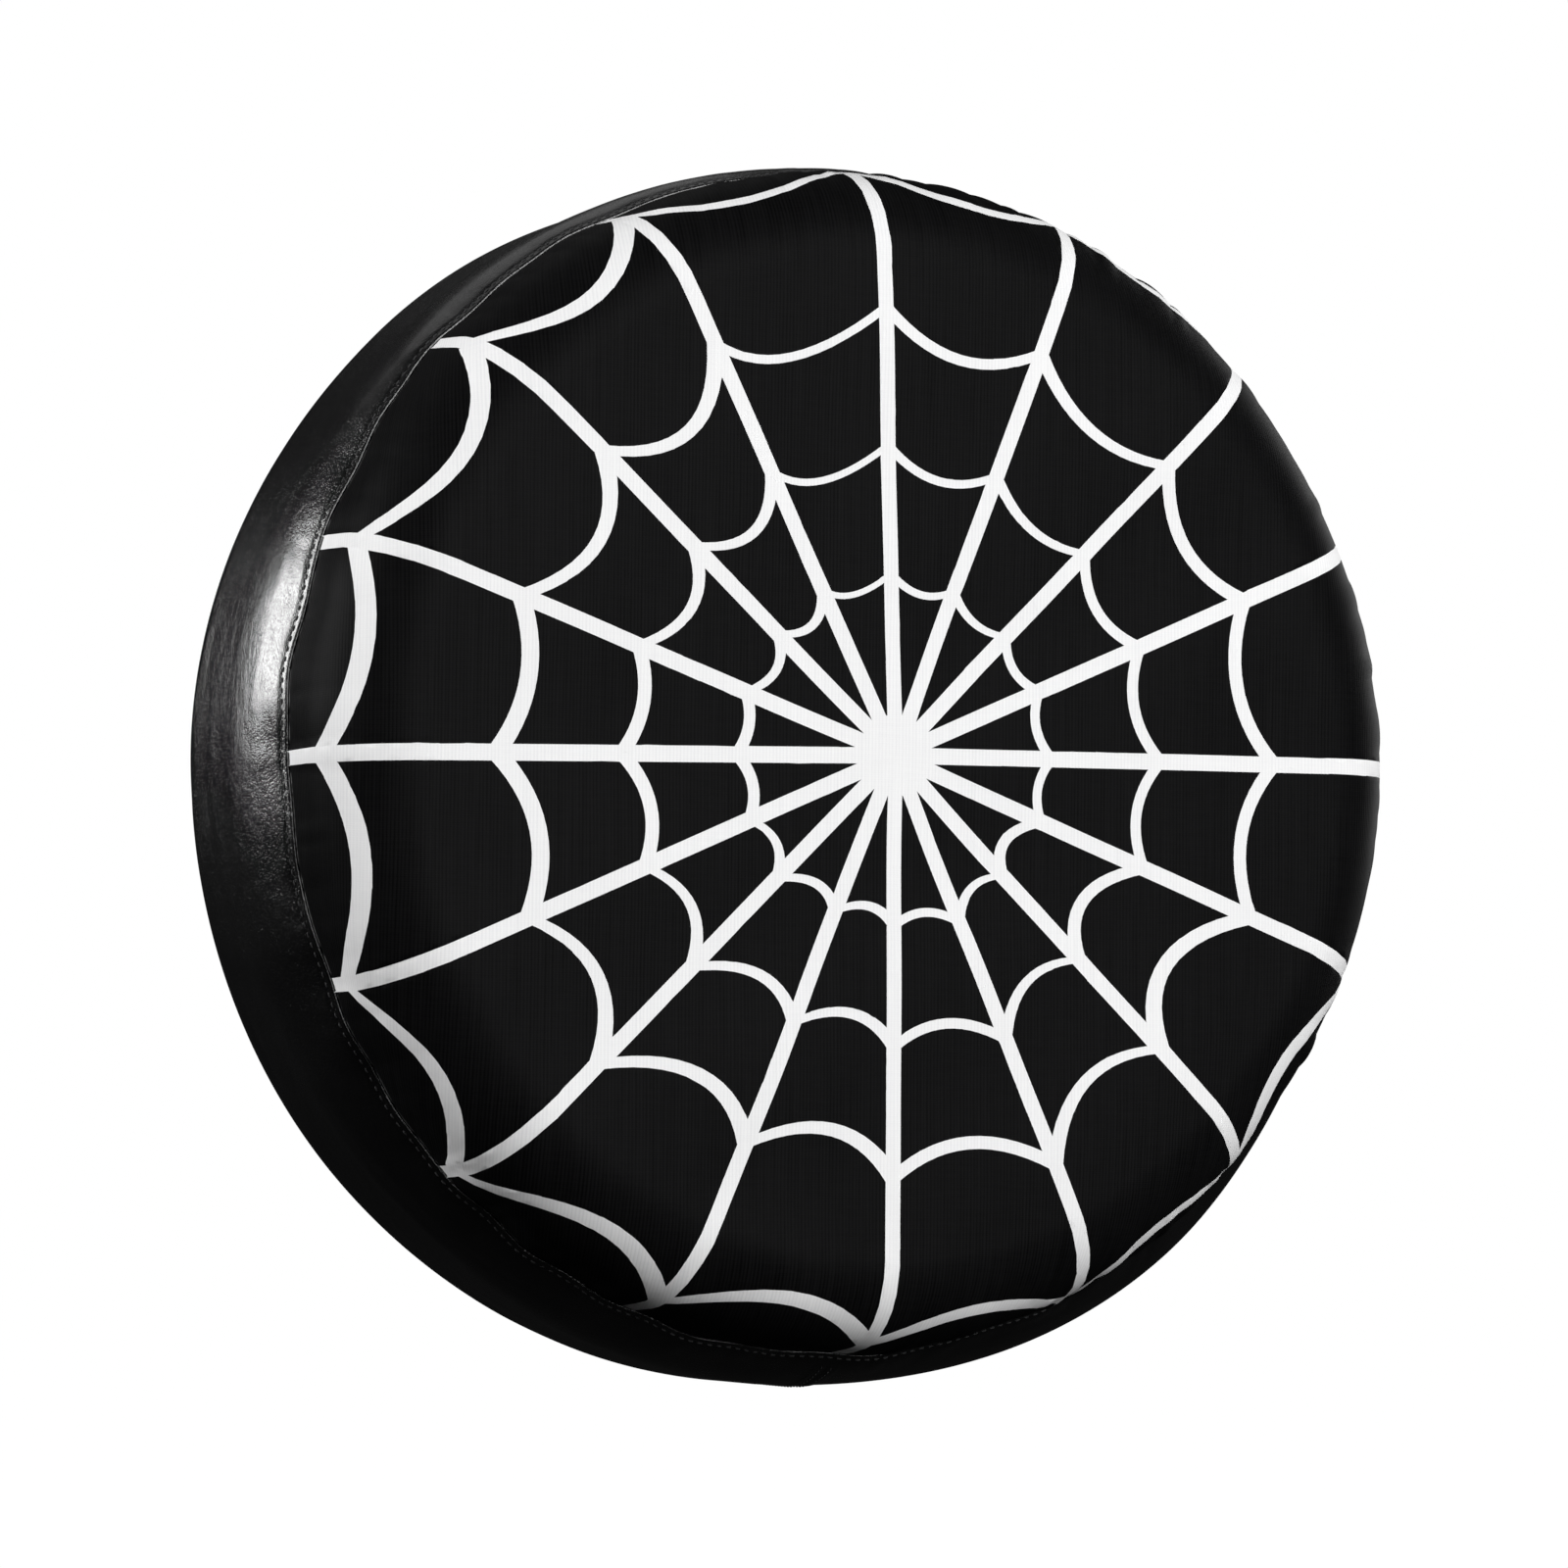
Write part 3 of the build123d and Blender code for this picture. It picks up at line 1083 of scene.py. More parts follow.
@dataclass(frozen=True)
class Cut:
    """Sizes that the sub-assemblies share, read from the frame where it holds them."""

    band_radius: float
    face_plane: float
    face_dish: float = 4.0 * MM
    shoulder_start: float = 295.0 * MM
    shoulder_bend: float = 55.0 * MM
    seam_rise: float = 56.0 * MM
    seam_nip: float = 17.5 * MM
    band_widest: float = 15.0 * MM
    rear_bend_start: float = 68.0 * MM
    rear_bend: float = 44.0 * MM
    return_edge_radius: float = 276.5 * MM
    return_edge_height: float = 115.1 * MM
    fold_outside: float = 3.1 * MM
    allowance: float = 11.0 * MM
    face_cloth: float = 1.0 * MM
    band_cloth: float = 1.2 * MM
    stitch_pitch: float = 6.4 * MM
    corner_depth: float = 0.2 * MM
    tuck_gap: float = 0.1 * MM

    @property
    def front_radius(self) -> float:
        """Radius of the circle that the band follows behind the face seam."""
        return (self.seam_nip**2 + self.seam_rise**2) / (2 * self.seam_nip)

    @property
    def seam_angle(self) -> float:
        """Where the seam stands on that circle, in degrees forward of its widest point."""
        return math.degrees(math.asin(self.seam_rise / self.front_radius))

    @property
    def raw_edge(self) -> float:
        """Where the raw edges lie on that circle, in degrees back from the seam."""
        return math.degrees(self.allowance / self.front_radius)

    def front_point(self, depth: float, turn: float) -> tuple[float, float]:
        """A point below the band's front surface.

        Args:
            depth: Depth below the surface.
            turn: Degrees back from the seam.

        Returns:
            Radius and height.
        """
        angle = math.radians(self.seam_angle - turn)
        radius = self.front_radius - depth
        centre = self.band_radius - self.front_radius
        return centre + radius * math.cos(angle), self.band_widest - radius * math.sin(angle)

    def front_arc(self, depth: float, start: float, end: float) -> np.ndarray:
        """Points at one depth below the band's front, between two turns from the seam."""
        centre = (self.band_radius - self.front_radius, self.band_widest)
        return arc(
            centre, self.front_radius - depth, start - self.seam_angle, end - self.seam_angle
        )

    def face_course(self) -> tuple[Course, float]:
        """Section of the face from the wheel axis to its raw edge.

        Returns:
            The section, and how far along it the seam is.
        """
        riser = -math.degrees((self.fold_outside / 2 + self.corner_depth) / self.front_radius)
        tucked = self.fold_outside + self.tuck_gap
        out = np.linspace(0.0, self.shoulder_start, 120)
        dish = self.face_plane + self.face_dish * (1.0 - smooth(out, 0.0, self.shoulder_start))
        shoulder = arc(
            (self.shoulder_start, self.face_plane + self.shoulder_bend),
            self.shoulder_bend, -90.0, 0.0,
        )
        corner = np.array(self.front_point(self.corner_depth, riser))
        shown = [np.stack([out, dish], axis=1), shoulder, straight(shoulder[-1], corner, 12)]
        step = np.array([self.front_point(tucked, riser)])
        under = self.front_arc(tucked, riser, self.raw_edge)
        return Course(*shown, step, under), Course(*shown).length

    def band_course(self) -> tuple[Course, float]:
        """Section of the band from its folded-under raw edge to its edge at the hem.

        Returns:
            The section, and how far along it the seam is.
        """
        fold_start = np.array(self.front_point(self.fold_outside, 0.0))
        fold_end = np.array(self.front_point(0.0, 0.0))
        middle = (fold_start + fold_end) / 2
        lean = math.degrees(math.atan2(*(fold_start - fold_end)[::-1]))
        fold = arc(tuple(middle), self.fold_outside / 2, lean, lean + 180.0)
        under = self.front_arc(self.fold_outside, self.raw_edge, 0.0)
        tread = np.array(
            [(self.band_radius, y) for y in np.linspace(self.band_widest, self.rear_bend_start, 30)]
        )
        rear = arc(
            (self.band_radius - self.rear_bend, self.rear_bend_start), self.rear_bend, 0.0, 90.0
        )
        edge = np.array([self.return_edge_radius, self.return_edge_height])
        back = straight(rear[-1], edge, 20)
        course = Course(
            under, fold, self.front_arc(0.0, 0.0, self.seam_angle), tread, rear, back
        )
        return course, Course(under, fold).length


def read_cut() -> Cut:
    """The cover's sizes, with the outer ones read from the frame."""
    low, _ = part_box("face_panel")
    _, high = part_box("side_band")
    return Cut(band_radius=high.x, face_plane=low.y)


# ------------------------------------------------------------------------------- web print


@dataclass(frozen=True)
class Sector:
    """Hand-drawn threads between two spokes, from one spoke to the next anticlockwise."""

    sag: float
    start_width: float
    end_width: float
    skew: float = 0.0
    rim_sag: float = 1.0


@dataclass(frozen=True)
class Spoke:
    """One spoke: how far it leans off even spacing, and how far out its threads are tied."""

    lean: float = 0.0
    reach: float = 1.0
    rim: float = 1.0


@dataclass
class WebPrint:
    """White line print of a spider's web, laid out on the flat face."""

    hub: float = 24.0 * MM
    spoke_width: float = 9.6 * MM
    spoke_start: float = 0.9
    hub_sides: int = 48
    spoke_points: int = 26
    thread_points: int = 15
    rings: tuple[float, ...] = (103.0 * MM, 176.0 * MM, 254.5 * MM, 362.0 * MM)
    ring_weights: tuple[float, ...] = (0.62, 0.72, 0.9, 1.1)
    spokes: tuple[Spoke, ...] = (
        Spoke(0.9, rim=1.035),
        Spoke(1.2, rim=1.035),
        Spoke(0.2, rim=1.03),
        Spoke(1.6, 1.02),
        Spoke(2.4, 1.035),
        Spoke(4.7, 1.035),
        Spoke(3.7),
        Spoke(3.7),
        Spoke(1.8),
        Spoke(1.0, rim=1.06),
        Spoke(-0.8, 1.035, 1.035),
        Spoke(-0.2, 0.97, 1.03),
        Spoke(-0.1, 0.97, 1.025),
        Spoke(1.6, 1.025, 1.03),
        Spoke(1.3, 0.96, 1.06),
        Spoke(2.1, rim=1.035),
    )
    sectors: tuple[Sector, ...] = (
        Sector(0.16, 10.0 * MM, 10.0 * MM, rim_sag=0.4),
        Sector(0.18, 9.5 * MM, 9.5 * MM, rim_sag=0.4),
        Sector(0.15, 6.0 * MM, 10.0 * MM, rim_sag=0.5),
        Sector(0.17, 6.5 * MM, 8.0 * MM),
        Sector(0.15, 5.5 * MM, 6.0 * MM, 0.18),
        Sector(0.28, 12.0 * MM, 6.0 * MM, -0.08),
        Sector(0.25, 12.0 * MM, 7.0 * MM, -0.08),
        Sector(0.14, 12.0 * MM, 12.0 * MM),
        Sector(0.17, 12.0 * MM, 12.0 * MM),
        Sector(0.25, 6.5 * MM, 12.0 * MM, 0.08),
        Sector(0.22, 6.5 * MM, 12.0 * MM, 0.08),
        Sector(0.20, 6.0 * MM, 11.5 * MM, 0.08),
        Sector(0.16, 8.5 * MM, 8.5 * MM),
        Sector(0.22, 11.0 * MM, 5.5 * MM, -0.08, 0.8),
        Sector(0.28, 13.0 * MM, 9.0 * MM, -0.08, 0.95),
        Sector(0.16, 9.5 * MM, 9.5 * MM, rim_sag=0.4),
    )

    def angle(self, number: int) -> float:
        """Angle of a spoke, in radians from +X towards +Z."""
        even = number * 360.0 / len(self.spokes)
        return math.radians(even + self.spokes[number % len(self.spokes)].lean)

    def pointing(self, number: int) -> np.ndarray:
        """Unit vector along a spoke."""
        turn = self.angle(number)
        return np.array([math.cos(turn), math.sin(turn)])

    def tie(self, number: int, ring: float) -> np.ndarray:
        """Where a ring of threads is tied to a spoke."""
        spoke = self.spokes[number % len(self.spokes)]
        reach = spoke.reach * (spoke.rim if ring == self.rings[-1] else 1.0)
        return ring * reach * self.pointing(number)

    def ribbon(self, line: np.ndarray, widths: np.ndarray) -> np.ndarray:
        """Outline of a line drawn with a changing width.

        Args:
            line: Points down its middle.
            widths: Its width at each point.

        Returns:
            The outline's points, anticlockwise.
        """
        along = np.gradient(line, axis=0)
        along /= np.maximum(np.linalg.norm(along, axis=1, keepdims=True), 1e-9)
        side = np.stack([-along[:, 1], along[:, 0]], axis=1) * widths[:, None] / 2
        return np.concatenate([line - side, (line + side)[::-1]])

    def thread(self, number: int, ring_number: int) -> np.ndarray:
        """Outline of one thread, sagging towards the hub.

        Args:
            number: The spoke that it starts from.
            ring_number: The ring that it belongs to.

        Returns:
            The outline's points.
        """
        sector = self.sectors[number]
        ring = self.rings[ring_number]
        start, end = self.tie(number, ring), self.tie(number + 1, ring)
        chord = end - start
        inward = -(start + end) / np.linalg.norm(start + end)
        sag = sector.sag * (sector.rim_sag if ring == self.rings[-1] else 1.0)
        pull = (start + end) / 2 + chord * sector.skew
        pull = pull + inward * 2 * sag * np.linalg.norm(chord)
        share = np.linspace(0.0, 1.0, self.thread_points)[:, None]
        line = (1 - share) ** 2 * start + 2 * share * (1 - share) * pull + share**2 * end
        weight = self.ring_weights[ring_number]
        widths = sector.start_width + (sector.end_width - sector.start_width) * share[:, 0]
        return self.ribbon(line, widths * weight)

    def spoke(self, number: int, length: float) -> np.ndarray:
        """Outline of one spoke, from inside the hub outwards."""
        distance = np.linspace(self.spoke_start * self.hub, length, self.spoke_points)
        line = distance[:, None] * self.pointing(number)
        return self.ribbon(line, np.full(len(line), self.spoke_width))

    def outlines(self, length: float) -> list[np.ndarray]:
        """Every outline of the print.

        Args:
            length: How far out the spokes run.

        Returns:
            A list of closed outlines.
        """
        made = [self.hub * unit(np.arange(self.hub_sides) * FULL_TURN / self.hub_sides)]
        made += [self.spoke(number, length) for number in range(len(self.spokes))]
        made += [
            self.thread(number, ring)
            for number in range(len(self.sectors))
            for ring in range(len(self.rings))
        ]
        return made


# ------------------------------------------------------------------------------ face panel


@dataclass
class FacePanel(RoundSheet):
    """The printed disc of cloth and its puckered rim."""

    cut: Cut
    drape: Drape
    gathers: Gathers
    web: WebPrint = field(default_factory=WebPrint)
    coarse: float = 7.0 * MM
    fine: float = 3.0 * MM
    pucker: float = 3.4 * MM
    pucker_length: float = 105.0 * MM
    loose_side: float = math.radians(15.0)
    slack: float = 0.8 * MM
    slack_fade: tuple[float, float] = (0.0, 120.0 * MM)
    pucker_fade: tuple[float, float] = (-1.0 * MM, 12.0 * MM)
    drawn_near: tuple[float, float] = (0.0, 34.0 * MM)
    drawn_far: tuple[float, float] = (150.0 * MM, 75.0 * MM)
    fine_lead: float = 10.0 * MM
    edge_gap: float = 1.0 * MM
    snap: float = 0.3 * MM
    weld: float = 0.4 * MM
    slope_reach: float = 2.5 * MM

    def __post_init__(self) -> None:
        """Takes the section from the cut."""
        self.course, self.seam = self.cut.face_course()

    def lattice(self, length: float) -> np.ndarray:
        """Points of the flat disc on rings, closer together over the shoulder.

        Args:
            length: The disc's radius.

        Returns:
            Flat points.
        """
        fine_from = self.cut.shoulder_start - self.fine_lead
        inner = np.arange(self.coarse, fine_from, self.coarse)
        outer = np.linspace(fine_from, length, int((length - fine_from) / (self.fine * 1.15)))
        made = [np.zeros((1, 2))]
        for number, radius in enumerate([*inner, *outer]):
            pitch = self.coarse if radius < fine_from else self.fine
            count = max(6, int(FULL_TURN * radius / pitch))
            turn = (np.arange(count) + 0.5 * (number % 2)) * FULL_TURN / count
            made.append(radius * unit(turn))
        return np.concatenate(made)

    def shift(self, angle: np.ndarray, distance: np.ndarray) -> np.ndarray:
        """How far the face strays from its section: the wandering seam and the drawn-in rim."""
        before = self.seam - distance
        share = smooth(before, *self.drawn_near) * smooth(before, *self.drawn_far)
        drawn = self.drape.fuller(self.drape.rim_fullness, angle, share)
        return self.drape.seam_shift(angle, before) + drawn

    def rise(self, angle: np.ndarray, distance: np.ndarray) -> np.ndarray:
        """Height of the rim's puckers and of the slack over the face."""
        before = self.seam - distance
        ridges = self.gathers.ridges(angle, before / self.pucker_length)
        across, up = distance * np.cos(angle), distance * np.sin(angle)
        slack = self.slack * Ripples(11, (90.0 * MM, 260.0 * MM)).at(across, up)
        rim = self.pucker * (ridges - 0.3) * smooth(before, *self.pucker_fade)
        rim = rim * smooth(before, self.pucker_length, 0.5 * self.pucker_length)
        rim = rim * loose(angle, self.loose_side, 0.3)
        return rim + slack * smooth(before, *self.slack_fade)

    def build(self, wardrobe: Wardrobe) -> bpy.types.Object:
        """Makes the printed disc.

        Args:
            wardrobe: The materials.

        Returns:
            The piece.
        """
        length = self.course.length
        points = [Vector(point) for point in self.lattice(length)]
        faces = []
        for outline in self.web.outlines(length - self.edge_gap):
            faces.append(list(range(len(points), len(points) + len(outline))))
            points += [Vector(point) for point in outline]
        made = geometry.delaunay_2d_cdt(points, [], faces, 0, self.snap, True)
        flat, triangles, white = weld(made[0], made[2], made[5], self.weld)
        angle, distance = np.arctan2(flat[:, 1], flat[:, 0]), np.linalg.norm(flat, axis=1)
        materials = [wardrobe.ink, wardrobe.bare, wardrobe.reverse, wardrobe.reverse]
        piece = make_object(
            "face_panel_cloth", self.surface(angle, distance), triangles, materials, flat, white
        )
        thicken(piece, self.cut.face_cloth, 2)
        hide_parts("face_panel")
        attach(piece, Body.ROOT.value)
        return piece


# ------------------------------------------------------------------------------- side band


@dataclass
class SideBand(RoundSheet):
    """The leather-look strip, from its folded front edge round to the hem."""

    cut: Cut
    drape: Drape
    gathers: Gathers
    pleats: Gathers
    tucks: Gathers
    columns: int = 640
    tread_pitch: float = 3.2 * MM
    return_pitch: float = 5.2 * MM
    pucker: float = 1.6 * MM
    pucker_length: float = 42.0 * MM
    loose_side: float = math.radians(-30.0)
    pleat: float = 5.2 * MM
    pleat_length: float = 112.0 * MM
    tuck: float = 2.6 * MM
    tuck_length: float = 46.0 * MM
    creases: int = 70
    crease: float = 0.45 * MM
    groove: float = 0.45 * MM
    groove_width: float = 1.5 * MM
    valley: float = 1.0 * MM
    valley_width: float = 1.3 * MM
    allowance_step: float = 0.7 * MM
    pucker_fade: tuple[float, float] = (0.5 * MM, 9.0 * MM)
    crease_fade: tuple[float, float] = (4.0 * MM, 14.0 * MM)
    gather_fade: tuple[float, float] = (4.0 * MM, 20.0 * MM)
    sunk_fade: tuple[float, float] = (120.0 * MM, 20.0 * MM)
    join_front: tuple[float, float] = (7.0 * MM, 16.0 * MM)
    join_rear: tuple[float, float] = (1.0 * MM, 6.0 * MM)
    slack_front: tuple[float, float] = (0.0, 62.0 * MM)
    slack_rear: tuple[float, float] = (4.0 * MM, 100.0 * MM)
    folded_end: float = 4.0 * MM
    tread_start: float = 7.0 * MM
    return_length: float = 55.0 * MM
    allowance_fade: float = 2.0 * MM
    stitch_line: float = 3.0 * MM
    closing: float = -math.pi / 2
    join_allowance: float = 9.0 * MM

    def __post_init__(self) -> None:
        """Takes the section from the cut."""
        self.course, self.seam = self.cut.band_course()

    def crease_height(self, angle: np.ndarray, behind: np.ndarray) -> np.ndarray:
        """Long shallow folds that run round the band, more of them on the left.

        Args:
            angle: Angles round the axis.
            behind: Distances behind the seam.

        Returns:
            Heights.
        """
        rng = np.random.default_rng(5)
        total = np.zeros(np.broadcast(angle, behind).shape)
        for number in range(self.creases):
            middle = rng.uniform(0.0, FULL_TURN) if number % 3 else rng.normal(math.pi, 0.28)
            place = rng.uniform(8.0 * MM, 125.0 * MM)
            half = math.radians(rng.uniform(3.0, 12.0))
            width = rng.uniform(5.0 * MM, 11.0 * MM)
            slope = rng.uniform(-110.0 * MM, 110.0 * MM)
            height = rng.uniform(-self.crease, self.crease)
            away = turned(angle, middle)
            across = (behind - place - slope * away) / width
            along = np.exp(-((away / half) ** 2))
            total = total + height * along * (1.0 - across**2) * np.exp(-(across**2))
        return total

    def join_height(self, angle: np.ndarray) -> np.ndarray:
        """Section across the closing join: a valley between two turned-back allowances."""
        across = np.abs(turned(angle, self.closing)) * self.cut.band_radius
        valley = -self.valley * np.exp(-((across / self.valley_width) ** 2))
        step = smooth(across, self.join_allowance, self.join_allowance - self.allowance_fade)
        return valley + self.allowance_step * step

    def shift(self, angle: np.ndarray, distance: np.ndarray) -> np.ndarray:
        """How far the band strays from its section: the wandering seam and its own slack."""
        behind, edge = distance - self.seam, self.course.length - distance
        share = smooth(behind, *self.slack_front) * smooth(edge, *self.slack_rear)
        share = share + 0.0 * angle
        slack = self.drape.fuller(self.drape.band_fullness, angle, share)
        return self.drape.seam_shift(angle, behind) + slack

    def rise(self, angle: np.ndarray, distance: np.ndarray) -> np.ndarray:
        """Height of puckers, creases, pleats, the closing join and the stitched groove."""
        behind, edge = distance - self.seam, self.course.length - distance
        ridges = self.gathers.ridges(angle, behind / self.pucker_length)
        rise = self.pucker * ridges * smooth(behind, *self.pucker_fade)
        rise = rise * loose(angle, self.loose_side, 0.35)
        rise = rise + self.crease_height(angle, behind) * smooth(behind, *self.crease_fade)
        gathered = smooth(edge, *self.gather_fade)
        folds = self.pleats.ridges(angle, edge / self.pleat_length)
        tucks = self.tucks.ridges(angle, edge / self.tuck_length)
        sunk = smooth(edge, *self.sunk_fade)
        rise = rise + (self.pleat * (folds - 0.3 * sunk) + self.tuck * tucks) * gathered
        joined = smooth(behind, *self.join_front) * smooth(edge, *self.join_rear)
        rise = rise + self.join_height(angle) * joined
        groove = np.exp(-(((behind - self.stitch_line) / self.groove_width) ** 2))
        return rise - self.groove * groove * (behind > 0.0)

    def angles(self) -> np.ndarray:
        """Angles of the grid, closer together at the closing join."""
        step = FULL_TURN / self.columns
        half = np.array([0.0, 0.7, 1.4, 2.3, 3.6, 5.2, 6.6, 7.6, 8.6, 9.6]) * MM
        half = half / self.cut.band_radius
        near = np.concatenate([-half[:0:-1], half])
        return self.closing + np.concatenate([near, step * np.arange(4, self.columns - 3)])

    def rows(self) -> np.ndarray:
        """Distances of the grid's rows along the section."""
        seam, length = self.seam, self.course.length
        bend_end = length - self.return_length
        tread = np.arange(seam + self.tread_start, bend_end, self.tread_pitch)
        back = np.linspace(bend_end, length, int((length - bend_end) / self.return_pitch) + 2)
        folded = np.array([-2.6, -1.3, 0.0, 1.1, 2.1, 3.0, 3.9, 5.2]) * MM
        under = np.linspace(0.0, seam - self.folded_end, 3)
        return np.concatenate([under, seam + folded, tread, back])

    def build(self, wardrobe: Wardrobe) -> bpy.types.Object:
        """Makes the band.

        Args:
            wardrobe: The materials.

        Returns:
            The piece.
        """
        cut, rows, columns = self.cut, self.rows(), self.angles()
        points, cloth = self.laid(rows, columns)
        faces = quads(len(rows), len(columns))[:, ::-1]
        materials = [wardrobe.leather, wardrobe.backing]
        piece = make_object("side_band_cloth", points, faces, materials, cloth)
        thicken(piece, cut.band_cloth, 1)
        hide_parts("side_band")
        self.follow(piece)
        return piece

    def follow(self, piece: bpy.types.Object) -> None:
        """Bakes a piece's placement into its mesh."""
        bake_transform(piece)


# -------------------------------------------------------------------------- sewn-on details


@dataclass
class FaceSeam:
    """Stitches and folded tape of the seam between the face and the band."""

    cut: Cut
    band: SideBand
    stitch: float = 4.1 * MM
    thread: float = 1.0 * MM
    bobbin_depth: float = 4.9 * MM
    tape: float = 0.5 * MM
    tape_width: float = 6.0 * MM
    tape_step: float = 0.9 * MM
    tape_ripple: float = 0.25 * MM
    tape_gap: float = 0.15 * MM
    tape_inside: float = 1.75 * MM
    tape_overhang: float = 0.8 * MM
    needle_lift: float = 0.25 * MM
    columns: int = 720

    def stitches(self, wardrobe: Wardrobe) -> bpy.types.Object:
        """Makes the needle stitches outside and the bobbin stitches inside.

        Args:
            wardrobe: The materials.

        Returns:
            The piece.
        """
        count = int(FULL_TURN * self.cut.band_radius / self.cut.stitch_pitch)
        turn = np.arange(count + 1) * FULL_TURN / count
        line = np.full(count + 1, self.band.seam + self.band.stitch_line)
        outward = self.band.outward(turn, line)[:count]
        needle = self.band.surface(turn, line, self.needle_lift)
        bobbin = self.band.surface(turn, line, -self.bobbin_depth, folds=False)
        rows = [
            row_of_stitches(
                "face_seam_stitches", places, side * outward, self.stitch, self.thread,
                wardrobe.thread,
            )
            for places, side in ((needle, 1.0), (bobbin, -1.0))
        ]
        piece = join(rows)
        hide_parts("face_seam_thread")
        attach(piece, Body.ROOT.value)
        return piece

    def binding(self, wardrobe: Wardrobe) -> bpy.types.Object:
        """Makes the tape that folds round the raw edges inside, lightly rippled.

        Args:
            wardrobe: The materials.

        Returns:
            The piece.
        """
        outer = self.cut.band_cloth + self.tape_gap
        inner = self.cut.fold_outside + self.tape_inside
        end = self.cut.allowance + self.tape_overhang
        start = end - self.tape_width
        fold = arc((end, -(outer + inner) / 2), (inner - outer) / 2, 90.0, -90.0)[::2]
        section = np.concatenate([[(start, -outer)], fold, [(start, -inner)]])
        turn = np.arange(self.columns) * FULL_TURN / self.columns
        number, angle = np.meshgrid(np.arange(len(section)), turn, indexing="ij")
        ripple = Ripples(23, (9.0 * MM, 40.0 * MM)).at(angle * self.cut.band_radius, number * MM)
        inside = number > len(section) / 2
        lift = section[number, 1] - self.tape_ripple * (1.0 + ripple) * inside
        distance = self.band.seam + section[number, 0]
        points = self.band.surface(angle, distance, lift, folds=False).reshape(-1, 3)
        cloth = on_cloth(angle * self.cut.band_radius, number * self.tape_step)
        faces = quads(len(section), self.columns)
        piece = make_object("face_seam_tape", points, faces, [wardrobe.tape], cloth)
        thicken(piece, self.tape)
        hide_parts("face_seam_binding")
        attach(piece, Body.ROOT.value)
        return piece


@dataclass
class ClosingJoin:
    """Two rows of stitches and the tape inside, where the band's two ends meet."""

    cut: Cut
    band: SideBand
    row: float = 3.0 * MM
    pitch: float = 4.2 * MM
    stitch: float = 3.1 * MM
    thread: float = 0.75 * MM
    tape_half: float = 11.0 * MM
    tape: float = 0.6 * MM
    front_gap: float = 14.0 * MM
    hem_gap: float = 5.0 * MM
    needle_lift: float = 0.15 * MM
    bobbin_gap: float = 0.4 * MM
    strip_gap: float = 0.15 * MM
    strip_step: float = 3.0 * MM
    strip_columns: int = 23

    def beside(self, distance: np.ndarray, across: float) -> np.ndarray:
        """Angles at a steady distance to one side of the join."""
        radius, _ = self.band.course.at(distance)
        return self.band.closing + across / radius

    def stitches(self, wardrobe: Wardrobe) -> bpy.types.Object:
        """Makes both rows, outside and inside.

        Args:
            wardrobe: The materials.

        Returns:
            The piece.
        """
        start = self.band.seam + self.front_gap
        line = np.arange(start, self.band.course.length - self.hem_gap, self.pitch)
        inside = -self.cut.band_cloth - self.tape - self.bobbin_gap
        rows = []
        for across in (-self.row, self.row):
            turn = self.beside(line, across)
            outward = self.band.outward(turn, line)[:-1]
            for lift, side in ((self.needle_lift, 1.0), (inside, -1.0)):
                rows.append(
                    row_of_stitches(
                        "band_closing_stitches", self.band.surface(turn, line, lift),
                        side * outward, self.stitch, self.thread, wardrobe.thread,
                    )
                )
        piece = join(rows)
        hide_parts("band_closing_thread")
        self.band.follow(piece)
        return piece

    def strip(self, wardrobe: Wardrobe) -> bpy.types.Object:
        """Makes the tape over the allowances inside the band.

        Args:
            wardrobe: The materials.

        Returns:
            The piece.
        """
        start, end = self.band.seam + self.front_gap, self.band.course.length - self.hem_gap
        line = np.linspace(start, end, int((end - start) / self.strip_step))
        across = np.linspace(-self.tape_half, self.tape_half, self.strip_columns)
        distance, side = np.meshgrid(line, across, indexing="ij")
        radius, _ = self.band.course.at(distance)
        angle = self.band.closing + side / radius
        lift = -self.cut.band_cloth - self.strip_gap
        points = self.band.surface(angle, distance, lift).reshape(-1, 3)
        cloth = on_cloth(side, distance)
        faces = quads(len(line), len(across), closed=False)[:, ::-1]
        piece = make_object("band_closing_strip", points, faces, [wardrobe.tape], cloth)
        thicken(piece, self.tape)
        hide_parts("band_closing_tape")
        end - start
        self.band.follow(piece)
        return piece


# ------------------------------------------------------------------------------ elastic hem


